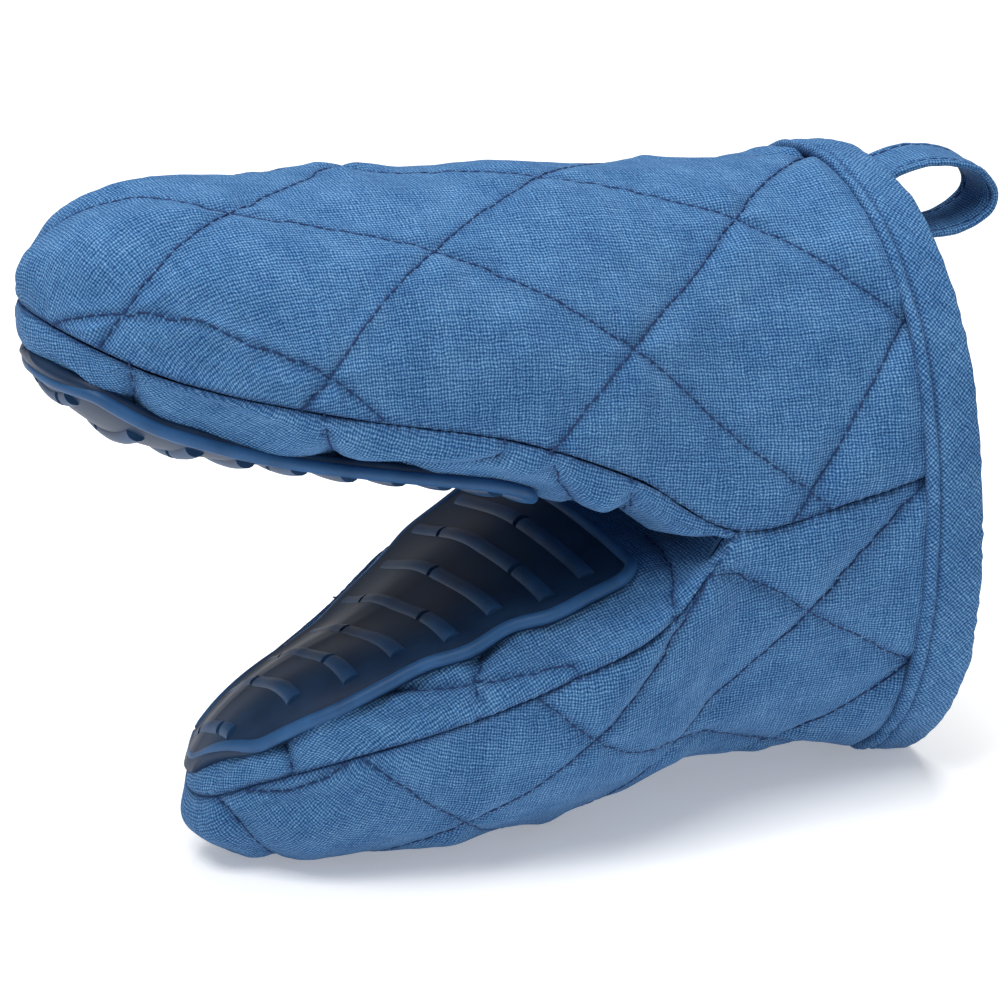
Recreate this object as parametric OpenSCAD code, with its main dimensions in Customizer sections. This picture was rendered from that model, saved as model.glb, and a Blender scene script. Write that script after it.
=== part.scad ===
// Mini oven mitt: three quilted cotton panels, a moulded silicone grip on each
// jaw, a bound cuff and a hanging loop. The fingers' jaw and the cuff stand
// still, the thumb's jaw turns about the fold between them, and the loop swings.
//
// x below runs from the cuff (0) to the tips, z is the height above the table,
// and place() turns that into the part's own frame, where +X is the cuff's side.

/* [Whole mitt] */
// Length of the fingers' jaw, from the cuff's edge to its tip
finger_length = 185; // [170:1:200]
// Length of the thumb's jaw, from the cuff's edge to its tip
thumb_length = 154; // [145:1:165]
// Distance from the cuff's edge to the fold between the jaws
fold_x = 52; // [46:1:56]
// Height of the side seam where it meets the fold
fold_height = 68.5; // [64:0.5:72]
// Height of the side seam at the cuff
cuff_seam_height = 76; // [72:0.5:80]
// Height of the fingertip
finger_tip_height = 121; // [114:1:126]
// Height of the thumb's tip
thumb_tip_height = 14; // [12:1:20]
// Lean of the cuff, its top towards the tips
cuff_lean = 5; // [0:0.5:8]

/* [Widths and fullness] */
// Half width at the cuff
cuff_half = 44; // [40:0.5:48]
// Half width at the fold
fold_half = 42; // [40:0.5:46]
// Half width across the fingers
finger_half = 43; // [40:0.5:46]
// Half width across the thumb
thumb_half = 46.5; // [42:0.5:48]
// How far the fingers' palm swells into the mouth
finger_swell = 15; // [12:0.5:16]
// How far the thumb's palm swells into the mouth
thumb_swell = 17; // [13:0.5:18]

/* [Layers] */
// Thickness of the outer cotton
cover_t = 1; // [0.8:0.1:1.4]
// Thickness of the wadding
wadding_t = 3.6; // [2:0.2:4]
// Thickness of the lining
lining_t = 0.8; // [0.6:0.1:1]
// Clearance between two layers
layer_gap = 0.35; // [0.3:0.05:0.4]
// Clearance along a seam
seam_gap = 0.4; // [0.3:0.05:0.6]

/* [Grips] */
// Thickness of the silicone sheet
grip_t = 1.6; // [1.2:0.1:2]
// Extra height of the rounded rim
rim_rise = 1; // [0.6:0.1:1.4]
// Extra height of the cross bars
bar_rise = 1.3; // [0.8:0.1:1.6]
// Width of a cross bar
bar_w = 3; // [2:0.1:4]
// Distance from one row of bars to the next
bar_pitch = 9.7; // [8:0.1:12]
// Where the grips begin, measured from the cuff
grip_start = 82; // [80:1:90]

/* [Cuff and loop] */
// Width of the binding round the cuff
binding_w = 10.8; // [8:0.2:14]
// Thickness of the binding outside the cuff
binding_t = 1.25; // [1:0.05:1.5]
// Width of the hanging loop's strap
strap_w = 14; // [10:0.5:18]
// Thickness of the strap
strap_t = 1.6; // [1.2:0.1:2]
// How far the loop reaches past the cuff
loop_reach = 22.5; // [18:0.5:30]
// Outer radius of the loop's round end
loop_radius = 7; // [6:0.5:9]

/* [Joint zone] */
// Angle of the soft zone behind the fold's vertical
zone_back = 5; // [3:1:8]
// Angle of the soft zone in front of the fold's vertical
zone_front = 14; // [12:1:18]

/* [Hidden] */

cotton = "#3f6ea8";
wadding = "#e9e6dc";
lining = "#31578a";
silicone = "#23405f";

// Depths of the layers below the outer face: each is [outer, inner].
cover_depth = [0, cover_t];
wadding_depth = [cover_t + layer_gap, cover_t + layer_gap + wadding_t];
lining_depth = [wadding_depth[1] + layer_gap, wadding_depth[1] + layer_gap + lining_t];
wall = lining_depth[1];

shift_x = (finger_length - loop_reach) / 2;   // puts the origin under the middle
lean_reach = 60;                // the lean fades out over this length
panel_start = 1.8;              // the panels end inside the binding
palm_start = fold_x + 16;       // the palms' wadding and lining begin here
cover_start = fold_x + 4;       // the palms' covers reach closer to the fold
seam_clear = 0.8;               // half the slit between the jaws at the seam
table_lift = binding_t + layer_gap;   // the heel stands clear, the binding rests
zone_lift = 0.6;                // the soft zone stands clear of the table
close_slack = 0.17;             // share of the reach left free for closing the jaws
tip_half = 0.4;                 // the smallest half width, at a tip's very end
tip_rise = 0.3;                 // the smallest rise there

// Heights of the seams and faces, as [x, z] with a smooth curve through them.
finger_seam_line = [
    [0, cuff_seam_height], [25, cuff_seam_height - 5], [fold_x, fold_height], [75, 83],
    [102, 95], [135, 103.5], [165, 112], [finger_length, finger_tip_height]
];
thumb_seam_line = [
    [fold_x, fold_height], [68, 52], [90, 44], [112, 36.5], [130, 30.5],
    [145, 23], [thumb_length, thumb_tip_height]
];
top_line = [[0, 131.5], [20, 130], [48, 131.5], [72, 136], [100, 138.5], [130, 141], [155, 143], [185, 145]];
bottom_line = [[0, -2], [30, 2], [52, 3], [75, -2], [154, -3]];
root_half_line = [[0, cuff_half], [fold_x, fold_half], [97, finger_half], [185, finger_half]];
thumb_half_line = [[fold_x, fold_half], [75, 45], [92, thumb_half], [154, thumb_half]];
finger_pad_line = [[82, 0.84], [115, 0.77], [150, 0.76], [185, 0.8]];
thumb_pad_line = [[82, 0.82], [112, 0.67], [154, 0.7]];

// ---- curves ----
function slope_at(p, i) = let (a = max(i - 1, 0), b = min(i + 1, len(p) - 1))
    (p[b][1] - p[a][1]) / (p[b][0] - p[a][0]);
function span_of(p, x, i = 0) = (i >= len(p) - 2 || x <= p[i + 1][0]) ? i : span_of(p, x, i + 1);
function unit(t) = min(1, max(0, t));
function smooth(t) = let (s = unit(t)) s * s * (3 - 2 * s);
function along(p, x) = let (
        i = span_of(p, x),
        h = p[i + 1][0] - p[i][0],
        t = unit((x - p[i][0]) / h)
    )
    (2 * t ^ 3 - 3 * t ^ 2 + 1) * p[i][1] + (t ^ 3 - 2 * t ^ 2 + t) * h * slope_at(p, i)
    + (3 * t ^ 2 - 2 * t ^ 3) * p[i + 1][1] + (t ^ 3 - t ^ 2) * h * slope_at(p, i + 1);
function round_off(x, end, r) = sqrt(max(0, 1 - unit((x - end + r) / r) ^ 2));

// ---- the mitt's outline, at a depth d below its outer face ----
function finger_seam(x) = along(finger_seam_line, x);
function thumb_seam(x) = along(thumb_seam_line, x);
function under_seam(x) = x < fold_x ? finger_seam(x) : thumb_seam(x);
function finger_side(x, d) = let (t = unit((x - fold_x) / (finger_length - d - fold_x)))
    max(tip_half, (along(root_half_line, x) - d) * sqrt(1 - t ^ 3.8));
function thumb_side(x, d) = let (t = unit((x - fold_x) / (thumb_length - d - fold_x)))
    max(tip_half, (along(thumb_half_line, x) - d) * sqrt(1 - t ^ 2.3));
function under_side(x, d) = x < fold_x ? finger_side(x, d) : thumb_side(x, d);
function back_rise(x, d) =
    max(tip_rise, (along(top_line, x) - finger_seam(x) - d) * round_off(x, finger_length - d, 28));
function under_drop(x, d) =
    max(tip_rise, (under_seam(x) - along(bottom_line, x) - d) * round_off(x, thumb_length - d, 22));
function lift(x) = table_lift * (1 - smooth((x - fold_x + 7) / 20));

// Half the room between the jaws, less what closing them needs.
function room(x) = max(0.5, (finger_seam(x) - thumb_seam(x)) / 2 - close_slack * (x - fold_x));
function swell(x, most) = (most ^ -3 + room(x) ^ -3) ^ (-1 / 3);
function finger_bulge(x, d) =
    max(tip_rise, (swell(x, finger_swell) - d) * round_off(x, finger_length - d, 24));
function thumb_bulge(x, d) =
    max(tip_rise, (swell(min(x, 120), thumb_swell) - d) * round_off(x, thumb_length - d, 24));
// A palm is flat across near the fold and round near the tip.
function fullness(x, end) = 0.6 + 0.35 * smooth((x - end + 60) / 55);

// ---- frame ----
function place(x, y, z) = [
    shift_x - x - tan(cuff_lean) * (z - cuff_seam_height) * max(0, 1 - max(x, 0) / lean_reach), y, z
];
function to_tip(u, from, to) = from + (to - from) * (1 - (1 - u) ^ 1.8);

// ---- faces: u runs along the mitt, a is the angle across it, d the depth ----
function back_face(u, a, d) = let (x = to_tip(u, panel_start, finger_length - d))
    place(x, -finger_side(x, d) * cos(a), finger_seam(x) + back_rise(x, d) * sin(a) ^ 0.9);
function under_z(x, a, d) =
    max(under_seam(x) - seam_gap - under_drop(x, d) * sin(a) ^ 0.9, d + lift(x));
function under_at(x, a, d, up = 0) =
    place(x, -under_side(x, d) * cos(a), max(under_z(x, a, d), d + lift(x) + up));
function zone_edge(a, d, angle, clear) =
    fold_x + clear + tan(angle) * max(0, fold_height - under_z(fold_x, a, d));
function heel_face(u, a, d) = let (to = zone_edge(a, d, -zone_back, -seam_clear))
    under_at(panel_start + (to - panel_start) * u, a, d);
function zone_face(u, a, d) = let (
        from = zone_edge(a, d, -zone_back, -seam_clear) + layer_gap,
        to = zone_edge(a, d, zone_front, seam_clear) - layer_gap
    )
    under_at(from + (to - from) * u, a, d, zone_lift);
function thumb_face(u, a, d) =
    under_at(to_tip(u, zone_edge(a, d, zone_front, seam_clear), thumb_length - d), a, d);

function finger_palm_z(x, a, d) =
    finger_seam(x) - seam_gap - finger_bulge(x, d) * sin(a) ^ fullness(x, finger_length);
function thumb_palm_z(x, a, d) =
    thumb_seam(x) + thumb_bulge(x, d) * sin(a) ^ fullness(x, thumb_length);
function palm_from(d) = d > cover_t ? palm_start : cover_start;
function finger_palm_face(u, a, d) = let (x = to_tip(u, palm_from(d), finger_length - d))
    place(x, -finger_side(x, d) * cos(a), finger_palm_z(x, a, d));
function thumb_palm_face(u, a, d) = let (x = to_tip(u, palm_from(d), thumb_length - d))
    place(x, -thumb_side(x, d) * cos(a), thumb_palm_z(x, a, d));

// ---- a closed sheet between two grids of points ----
// grid(k)[i][j] with k = 0 for the outer face and 1 for the inner one
module sheet(outer, inner, flip) {
    rows = len(outer);
    cols = len(outer[0]);
    count = rows * cols;
    points = [for (g = [outer, inner]) for (row = g) for (p = row) p];
    function at(k, i, j) = k * count + i * cols + j;
    function tri(a, b, c) = flip ? [a, c, b] : [a, b, c];
    faces = [
        for (i = [0 : rows - 2]) for (j = [0 : cols - 2]) for (t = [
            [at(0, i, j), at(0, i + 1, j), at(0, i + 1, j + 1)],
            [at(0, i, j), at(0, i + 1, j + 1), at(0, i, j + 1)],
            [at(1, i, j), at(1, i + 1, j + 1), at(1, i + 1, j)],
            [at(1, i, j), at(1, i, j + 1), at(1, i + 1, j + 1)]
        ]) tri(t[0], t[1], t[2]),
        for (i = [0 : rows - 2]) for (t = [
            [at(0, i, 0), at(1, i + 1, 0), at(0, i + 1, 0)],
            [at(0, i, 0), at(1, i, 0), at(1, i + 1, 0)],
            [at(0, i, cols - 1), at(0, i + 1, cols - 1), at(1, i + 1, cols - 1)],
            [at(0, i, cols - 1), at(1, i + 1, cols - 1), at(1, i, cols - 1)]
        ]) tri(t[0], t[1], t[2]),
        for (j = [0 : cols - 2]) for (t = [
            [at(0, 0, j), at(0, 0, j + 1), at(1, 0, j + 1)],
            [at(0, 0, j), at(1, 0, j + 1), at(1, 0, j)],
            [at(0, rows - 1, j), at(1, rows - 1, j + 1), at(0, rows - 1, j + 1)],
            [at(0, rows - 1, j), at(1, rows - 1, j), at(1, rows - 1, j + 1)]
        ]) tri(t[0], t[1], t[2])
    ];
    polyhedron(points = points, faces = faces, convexity = 8);
}

// A fabric layer: face(u, a, d) between two depths.
module layer(face, depth, rows, cols, flip) {
    outer = [for (i = [0 : rows]) [for (j = [0 : cols]) face(i / rows, 180 * j / cols, depth[0])]];
    inner = [for (i = [0 : rows]) [for (j = [0 : cols]) face(i / rows, 180 * j / cols, depth[1])]];
    sheet(outer, inner, flip);
}

back = function(u, a, d) back_face(u, a, d);
heel = function(u, a, d) heel_face(u, a, d);
zone = function(u, a, d) zone_face(u, a, d);
thumb = function(u, a, d) thumb_face(u, a, d);
finger_palm = function(u, a, d) finger_palm_face(u, a, d);
thumb_palm = function(u, a, d) thumb_palm_face(u, a, d);

module back_cover() color(cotton) layer(back, cover_depth, 18, 16, false);
module back_wadding() color(wadding) layer(back, wadding_depth, 18, 16, false);
module back_lining() color(lining) layer(back, lining_depth, 18, 16, false);
module heel_cover() color(cotton) layer(heel, cover_depth, 5, 16, true);
module heel_wadding() color(wadding) layer(heel, wadding_depth, 5, 16, true);
module heel_lining() color(lining) layer(heel, lining_depth, 5, 16, true);
module under_fold_cover() color(cotton) layer(zone, cover_depth, 3, 16, true);
module under_fold_wadding() color(wadding) layer(zone, wadding_depth, 3, 16, true);
module under_fold_lining() color(lining) layer(zone, lining_depth, 3, 16, true);
module thumb_cover() color(cotton) layer(thumb, cover_depth, 12, 16, true);
module thumb_wadding() color(wadding) layer(thumb, wadding_depth, 12, 16, true);
module thumb_lining() color(lining) layer(thumb, lining_depth, 12, 16, true);
module finger_palm_cover() color(cotton) layer(finger_palm, cover_depth, 19, 14, true);
module finger_palm_wadding() color(wadding) layer(finger_palm, wadding_depth, 18, 14, true);
module finger_palm_lining() color(lining) layer(finger_palm, lining_depth, 16, 14, true);
module thumb_palm_cover() color(cotton) layer(thumb_palm, cover_depth, 12, 14, false);
module thumb_palm_wadding() color(wadding) layer(thumb_palm, wadding_depth, 11, 14, false);
module thumb_palm_lining() color(lining) layer(thumb_palm, lining_depth, 11, 14, false);

// ---- the palm's fold between the jaws: gutters across the mitt ----
// The wadding stops short of the fold, so only the cover and the lining cross it.
module gutter(apex, legs, end, half, t) {
    translate([shift_x, half, 0]) rotate([90, 0, 0]) linear_extrude(2 * half) mirror([1, 0])
        intersection() {
            difference() {
                offset(r = t, $fn = 24) polygon([apex, legs[0], legs[1]]);
                offset(r = 0.01, $fn = 24) polygon([apex, legs[0], legs[1]]);
            }
            square([end - layer_gap, 2 * fold_height]);
        }
}
module palm_fold_cover() color(cotton) gutter(
    [cover_start - 1.5, fold_height - 1], [[cover_start + 1, fold_height], [cover_start + 1, fold_height - 2]],
    cover_start, fold_half - wall - 1, cover_t);
module palm_fold_lining() color(lining) gutter(
    [fold_x - 4, fold_height - 1],
    [
        [palm_start + 2, finger_palm_z(palm_start, 90, lining_depth[0])],
        [palm_start + 2, thumb_palm_z(palm_start, 90, lining_depth[0])]
    ],
    palm_start, fold_half - wall - 8, lining_t);

// ---- silicone grips ----
// Rows of bars are split in two, or in three in every other row.
function bump(t, w) = smooth(2 * (1 - abs(t) / w));
function in_segment(y, half, odd) = let (
        cut = odd ? 0.6 * half : 0,
        near_cut = min(abs(y - cut), abs(y + cut))
    )
    smooth((near_cut - 1) / 1) * smooth((half - 3.5 - abs(y)) / 2);
function bar_at(x, y, half, end) = let (
        s = end - x - 7,
        row = max(0, round(s / bar_pitch)),
        off = s - row * bar_pitch
    )
    bar_rise * bump(off, bar_w / 2 + 0.7) * in_segment(y, half, row % 2 == 1);
function rim_at(x, y, half, end) = let (e = min(half - abs(y), x - grip_start, end - x))
    rim_rise * smooth((2.4 - e) / 0.8);
// Stations along a grip: the foot and the top of every bar.
function bar_stations(end) = [
    for (row = [floor((end - grip_start - 12) / bar_pitch) : -1 : 0])
        for (off = [1.9, 0.8, -0.8, -1.9]) end - 7 - row * bar_pitch - off
];
function across(n) = [for (j = [0 : n]) sin(180 * (j / n - 0.5))];

module grip(palm_z, side, share, end, up) {
    tip = end - 2;
    xs = concat([grip_start, grip_start + 2.2], bar_stations(end), [end - 3.6, end - 2.6, tip]);
    ys = across(20);
    function half_at(x) = side(x) * along(share, x) * round_off(x, tip + 1, 8);
    function grid(deep) = [for (x = xs) let (half = half_at(x)) [for (v = ys) let (
            y = half * v,
            a = acos(unit(abs(y) / side(x))),
            t = deep ? 0.15 : grip_t + max(rim_at(x, y, half, tip), bar_at(x, y, half, end))
        ) place(x, y, palm_z(x, a) + up * t)]];
    sheet(grid(false), grid(true), up < 0);
}
module finger_grip() color(silicone) grip(
    function(x, a) finger_palm_z(x, a, 0), function(x) finger_side(x, 0),
    finger_pad_line, finger_length, -1);
module thumb_grip() color(silicone) grip(
    function(x, a) thumb_palm_z(x, a, 0), function(x) thumb_side(x, 0),
    thumb_pad_line, thumb_length, 1);

// ---- cuff binding: a folded band swept round the cuff ----
function cuff_point(x, a, d) = a <= 180
    ? place(x, finger_side(x, d) * cos(a), finger_seam(x) + back_rise(x, d) * sin(a) ^ 0.9)
    : place(x, finger_side(x, d) * cos(a),
        max(finger_seam(x) - seam_gap - under_drop(x, d) * sin(a - 180) ^ 0.9, d + table_lift));
binding_profile = let (out = -layer_gap - binding_t, in = wall + layer_gap) [
    [binding_w, -layer_gap], [binding_w, out + 0.4], [binding_w - 0.5, out], [1.2, out], [0.2, out + 0.6],
    [0, 1], [0, in - 0.2], [0.2, in + 0.8], [1.2, in + binding_t], [binding_w, in + binding_t],
    [binding_w, in], [panel_start - 0.3, in], [panel_start - 0.3, -layer_gap]
];
module cuff_binding() {
    rings = 32;   // as many sides as the panels have, so that the facets nest
    n = len(binding_profile);
    points = [for (i = [0 : rings - 1]) for (p = binding_profile) cuff_point(p[0], 360 * i / rings, p[1])];
    function at(i, j) = (i % rings) * n + (j % n);
    color(cotton) polyhedron(points = points, convexity = 8, faces = [
        for (i = [0 : rings - 1]) for (j = [0 : n - 1]) for (t = [
            [at(i, j), at(i, j + 1), at(i + 1, j + 1)],
            [at(i, j), at(i + 1, j + 1), at(i + 1, j)]
        ]) t
    ]);
}

// ---- hanging loop: a flat strap, both ends sewn inside the cuff's top ----
module loop_outline(r_end, r_root) hull() {
    translate([loop_reach - loop_radius, 120]) circle(r_end, $fn = 48);
    translate([-18, 118]) circle(r_root, $fn = 24);
}
module hanging_loop() color(cotton)
    translate([shift_x, strap_w / 2, 0]) rotate([90, 0, 0]) linear_extrude(strap_w) difference() {
        loop_outline(loop_radius, 2);
        loop_outline(loop_radius - strap_t, 0.3);
    }

back_cover();
back_wadding();
back_lining();
heel_cover();
heel_wadding();
heel_lining();
finger_palm_cover();
finger_palm_wadding();
finger_palm_lining();
finger_grip();
under_fold_cover();
under_fold_wadding();
under_fold_lining();
palm_fold_cover();
palm_fold_lining();
cuff_binding();
thumb_cover();
thumb_wadding();
thumb_lining();
thumb_palm_cover();
thumb_palm_wadding();
thumb_palm_lining();
thumb_grip();
hanging_loop();
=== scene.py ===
import math
import bmesh
import bpy
import numpy as np
from mathutils import Matrix, Vector
from mathutils.bvhtree import BVHTree
from mathutils.kdtree import KDTree


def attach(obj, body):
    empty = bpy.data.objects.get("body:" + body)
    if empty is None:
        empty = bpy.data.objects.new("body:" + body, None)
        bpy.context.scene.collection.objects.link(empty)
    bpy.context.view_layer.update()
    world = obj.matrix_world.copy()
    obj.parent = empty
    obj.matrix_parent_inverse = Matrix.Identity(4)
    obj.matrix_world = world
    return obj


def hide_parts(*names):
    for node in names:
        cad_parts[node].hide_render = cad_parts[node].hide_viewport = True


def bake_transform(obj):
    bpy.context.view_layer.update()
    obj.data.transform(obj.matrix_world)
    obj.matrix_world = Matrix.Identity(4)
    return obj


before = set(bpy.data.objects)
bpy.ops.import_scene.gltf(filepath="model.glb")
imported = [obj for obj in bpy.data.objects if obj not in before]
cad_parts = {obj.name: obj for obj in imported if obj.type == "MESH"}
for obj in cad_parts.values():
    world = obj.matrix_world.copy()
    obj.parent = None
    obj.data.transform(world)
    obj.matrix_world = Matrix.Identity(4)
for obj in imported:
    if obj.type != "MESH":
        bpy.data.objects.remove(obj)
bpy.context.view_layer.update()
print("frame loaded:", len(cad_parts), "nodes")

scene = bpy.context.scene
mm = 0.001


# the mitt's outline in millimetres: x runs from the cuff to the fingertips, z up from the table

mitt = {
    "fingerLength": 185.0, "thumbLength": 154.0, "foldX": 52.0, "cuffSeamHeight": 76.0,
    "cuffLean": 5.0, "leanReach": 60.0, "cuffX": 81.25,
    "fingerSwell": 15.0, "thumbSwell": 17.0, "thumbSwellEnd": 120.0, "swellPower": -3.0,
    "dome": 3.0, "domeShare": 0.78, "domeFrom": 74.0,   # the palms are fuller along their middle line
    "fingerLobes": [(84, 3.4, 7.0), (65, 5.0, 7.0)],    # and bulge beside the fold: x, rise, reach
    "thumbLobes": [(62, 1.6, 5.0)],
    "foldDroop": 4.8, "foldReach": 9.0,
    "thumbCut": 0.35, "cutFrom": 70.0, "cutReach": 60.0,   # the thumb's far side is cut back towards its tip
    "thumbFlat": 0.6, "flatReach": 50.0, "farFall": 0.38, "fallFrom": 62.0, "fallReach": 25.0,
    "seamGap": 0.4, "closeSlack": 0.17, "tableLift": 1.6, "liftEnd": 45.0,
    "backRound": 28.0, "underRound": 22.0, "palmRound": 24.0,
    "fingerTaper": 3.8, "thumbTaper": 2.3, "archPower": 0.9,
    "fingerSeam": [(0, 76), (25, 71), (52, 68.5), (75, 83), (102, 95), (135, 103.5), (165, 112),
                   (185, 121)],
    "thumbSeam": [(52, 68.5), (68, 52), (90, 44), (112, 36.5), (130, 30.5), (145, 23), (154, 14)],
    "top": [(0, 129.5), (20, 132), (48, 133.5), (72, 136.5), (100, 138.5), (130, 141), (155, 143),
            (185, 145)],
    "bottom": [(0, -2), (30, 2), (52, 3), (75, -2), (154, -3)],
    "rootHalf": [(0, 44), (52, 42), (97, 43), (185, 43)],
    "thumbHalf": [(52, 42), (75, 45), (92, 46.5), (154, 46.5)],
}


def along(line, x):
    p = np.array(line, float)
    last = len(p) - 1
    x = np.asarray(x, float)
    i = np.clip(np.searchsorted(p[:, 0], x, side="left") - 1, 0, last - 1)
    low, high = np.maximum(np.arange(last + 1) - 1, 0), np.minimum(np.arange(last + 1) + 1, last)
    slope = (p[high, 1] - p[low, 1]) / (p[high, 0] - p[low, 0])
    h = p[i + 1, 0] - p[i, 0]
    t = np.clip((x - p[i, 0]) / h, 0, 1)
    return ((2*t**3 - 3*t**2 + 1) * p[i, 1] + (t**3 - 2*t**2 + t) * h * slope[i]
            + (3*t**2 - 2*t**3) * p[i + 1, 1] + (t**3 - t**2) * h * slope[i + 1])


def smooth(t):
    t = np.clip(t, 0, 1)
    return t * t * (3 - 2 * t)


def roundOff(x, end, radius):
    return np.sqrt(np.maximum(0, 1 - np.clip((x - end + radius) / radius, 0, 1) ** 2))


def fingerSeam(x):
    return along(mitt["fingerSeam"], x)


def thumbSeam(x):
    return along(mitt["thumbSeam"], x)


def underSeam(x):
    return np.where(x < mitt["foldX"], fingerSeam(x), thumbSeam(x))


def sideWidth(x, depth, half, length, taper):
    t = np.clip((x - mitt["foldX"]) / (length - depth - mitt["foldX"]), 0, 1)
    return np.maximum(0, (along(half, x) - depth) * np.sqrt(np.maximum(0, 1 - t ** taper)))


def fingerSide(x, depth):
    return sideWidth(x, depth, mitt["rootHalf"], mitt["fingerLength"], mitt["fingerTaper"])


def thumbSide(x, depth):
    return sideWidth(x, depth, mitt["thumbHalf"], mitt["thumbLength"], mitt["thumbTaper"])


def palmRoom(x):
    gap = (fingerSeam(x) - thumbSeam(x)) / 2
    return np.maximum(0.5, gap - mitt["closeSlack"] * (x - mitt["foldX"]))


def palmSwell(x, most):
    p = mitt["swellPower"]
    return (most ** p + palmRoom(x) ** p) ** (1 / p)


def thumbAside(x, k, depth):
    cutBack = mitt["thumbCut"] * smooth((x - mitt["cutFrom"]) / mitt["cutReach"])
    return thumbSide(x, depth) * k * np.where(k > 0, 1 - cutBack, 1)


def fullness(x, end):
    return 0.6 + 0.35 * smooth((x - end + 60) / 55)


def extraFull(x, k, end, atFinger):
    middle = np.maximum(0, 1 - (k / mitt["domeShare"]) ** 2) * smooth((x - mitt["domeFrom"]) / 30)
    outer = smooth((np.abs(k) - 0.3) / 0.4) * np.maximum(0, 1 - k ** 2) ** 0.3
    lobes = mitt["fingerLobes"] if atFinger else mitt["thumbLobes"]
    lobe = sum(rise * np.exp(-((x - at) / reach) ** 2) for at, rise, reach in lobes) * outer
    return mitt["dome"] * middle * roundOff(x, end, 20.0) * (1.0 if atFinger else 0.5) + lobe


def foldDroop(x, k):
    # the cloth of the fold hangs a little lower than the seam beside it
    near = np.exp(-((x - mitt["foldX"]) / mitt["foldReach"]) ** 2)
    return mitt["foldDroop"] * near * np.maximum(0, 1 - k ** 2) ** 0.3


def arch(k, power):
    return np.maximum(0, 1 - k ** 2) ** (power / 2)


def place(x, y, z):
    lean = math.tan(math.radians(mitt["cuffLean"])) * (z - mitt["cuffSeamHeight"])
    lean = lean * np.maximum(0, 1 - np.maximum(x, 0) / mitt["leanReach"])
    return np.stack([mitt["cuffX"] - x - lean, y + 0 * x, z + 0 * x], -1)


# each face takes x, the share k from the middle line (0) to the side seam (-1 or 1),
# and the depth under the outside
def backFace(x, k, depth=0.0):
    rise = along(mitt["top"], x) - fingerSeam(x) - depth
    rise = np.maximum(0, rise * roundOff(x, mitt["fingerLength"] - depth, mitt["backRound"]))
    return place(x, fingerSide(x, depth) * k, fingerSeam(x) + rise * arch(k, mitt["archPower"]))


def underFace(x, k, depth=0.0):
    aside = np.where(x < mitt["foldX"], fingerSide(x, depth) * k, thumbAside(x, k, depth))
    drop = underSeam(x) - along(mitt["bottom"], x) - depth
    drop = np.maximum(0, drop * roundOff(x, mitt["thumbLength"] - depth, mitt["underRound"]))
    lift = mitt["tableLift"] * (1 - smooth((x - mitt["liftEnd"]) / 20))
    z = underSeam(x) - mitt["seamGap"] - drop * arch(k, mitt["archPower"])
    return place(x, aside, np.maximum(z, depth + lift))


def fingerPalm(x, k, depth=0.0):
    end = mitt["fingerLength"]
    bulge = (palmSwell(x, mitt["fingerSwell"]) - depth) * roundOff(x, end - depth, mitt["palmRound"])
    z = fingerSeam(x) - mitt["seamGap"] - np.maximum(0, bulge) * arch(k, fullness(x, end))
    z = z - extraFull(x, k, end, True) - foldDroop(x, k)
    return place(x, fingerSide(x, depth) * k, z)


def thumbPalm(x, k, depth=0.0):
    end = mitt["thumbLength"]
    swell = palmSwell(np.minimum(x, mitt["thumbSwellEnd"]), mitt["thumbSwell"])
    bulge = (swell - depth) * roundOff(x, end - depth, mitt["palmRound"])
    flatter = 1 - mitt["thumbFlat"] * smooth((x - mitt["cutFrom"]) / mitt["flatReach"]) * smooth(k + 0.85)
    fallen = smooth((x - mitt["fallFrom"]) / mitt["fallReach"])
    flatter = flatter - mitt["farFall"] * fallen * smooth(k / 0.8)
    z = thumbSeam(x) + np.maximum(0, bulge) * arch(k, fullness(x, end)) * flatter
    z = z + extraFull(x, k, end, False)
    return place(x, thumbAside(x, k, depth), z - foldDroop(x, k))


def hexLinear(code):
    channels = [int(code[i:i + 2], 16) / 255 for i in (1, 3, 5)]
    return [c / 12.92 if c <= 0.04045 else ((c + 0.055) / 1.055) ** 2.4 for c in channels] + [1.0]


def addNode(tree, kind, inputs=None, **settings):
    # an input is a number, a colour, a socket, or a node, which means its first output
    node = tree.nodes.new(kind)
    for name, value in settings.items():
        setattr(node, name, value)
    for key, value in (inputs or {}).items():
        if isinstance(value, bpy.types.Node):
            value = value.outputs[0]
        if isinstance(value, bpy.types.NodeSocket):
            tree.links.new(value, node.inputs[key])
        else:
            node.inputs[key].default_value = value
    return node


def meshPiece(name, points, faces, material, uv=None):
    # points in millimetres; uv, one pair per point, in millimetres of cloth
    data = bpy.data.meshes.new(name)
    data.from_pydata((np.asarray(points) * mm).tolist(), [], [tuple(f) for f in faces])
    if uv is not None:
        layer = data.uv_layers.new(name="cloth")
        corner = np.zeros(len(data.loops), int)
        data.loops.foreach_get("vertex_index", corner)
        layer.data.foreach_set("uv", np.asarray(uv, float)[corner].ravel())
    data.polygons.foreach_set("use_smooth", [True] * len(data.polygons))
    data.materials.append(material)
    data.update()
    piece = bpy.data.objects.new(name, data)
    scene.collection.objects.link(piece)
    return piece


def gridFaces(rows, columns, closedRows=False, closedColumns=False, flip=False):
    i = np.arange(rows if closedRows else rows - 1)
    j = np.arange(columns if closedColumns else columns - 1)
    i, j = [g.ravel() for g in np.meshgrid(i, j, indexing="ij")]
    i2, j2 = (i + 1) % rows, (j + 1) % columns
    quads = np.stack([i * columns + j, i * columns + j2, i2 * columns + j2, i2 * columns + j], 1)
    return (quads[:, ::-1] if flip else quads).tolist()


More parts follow.
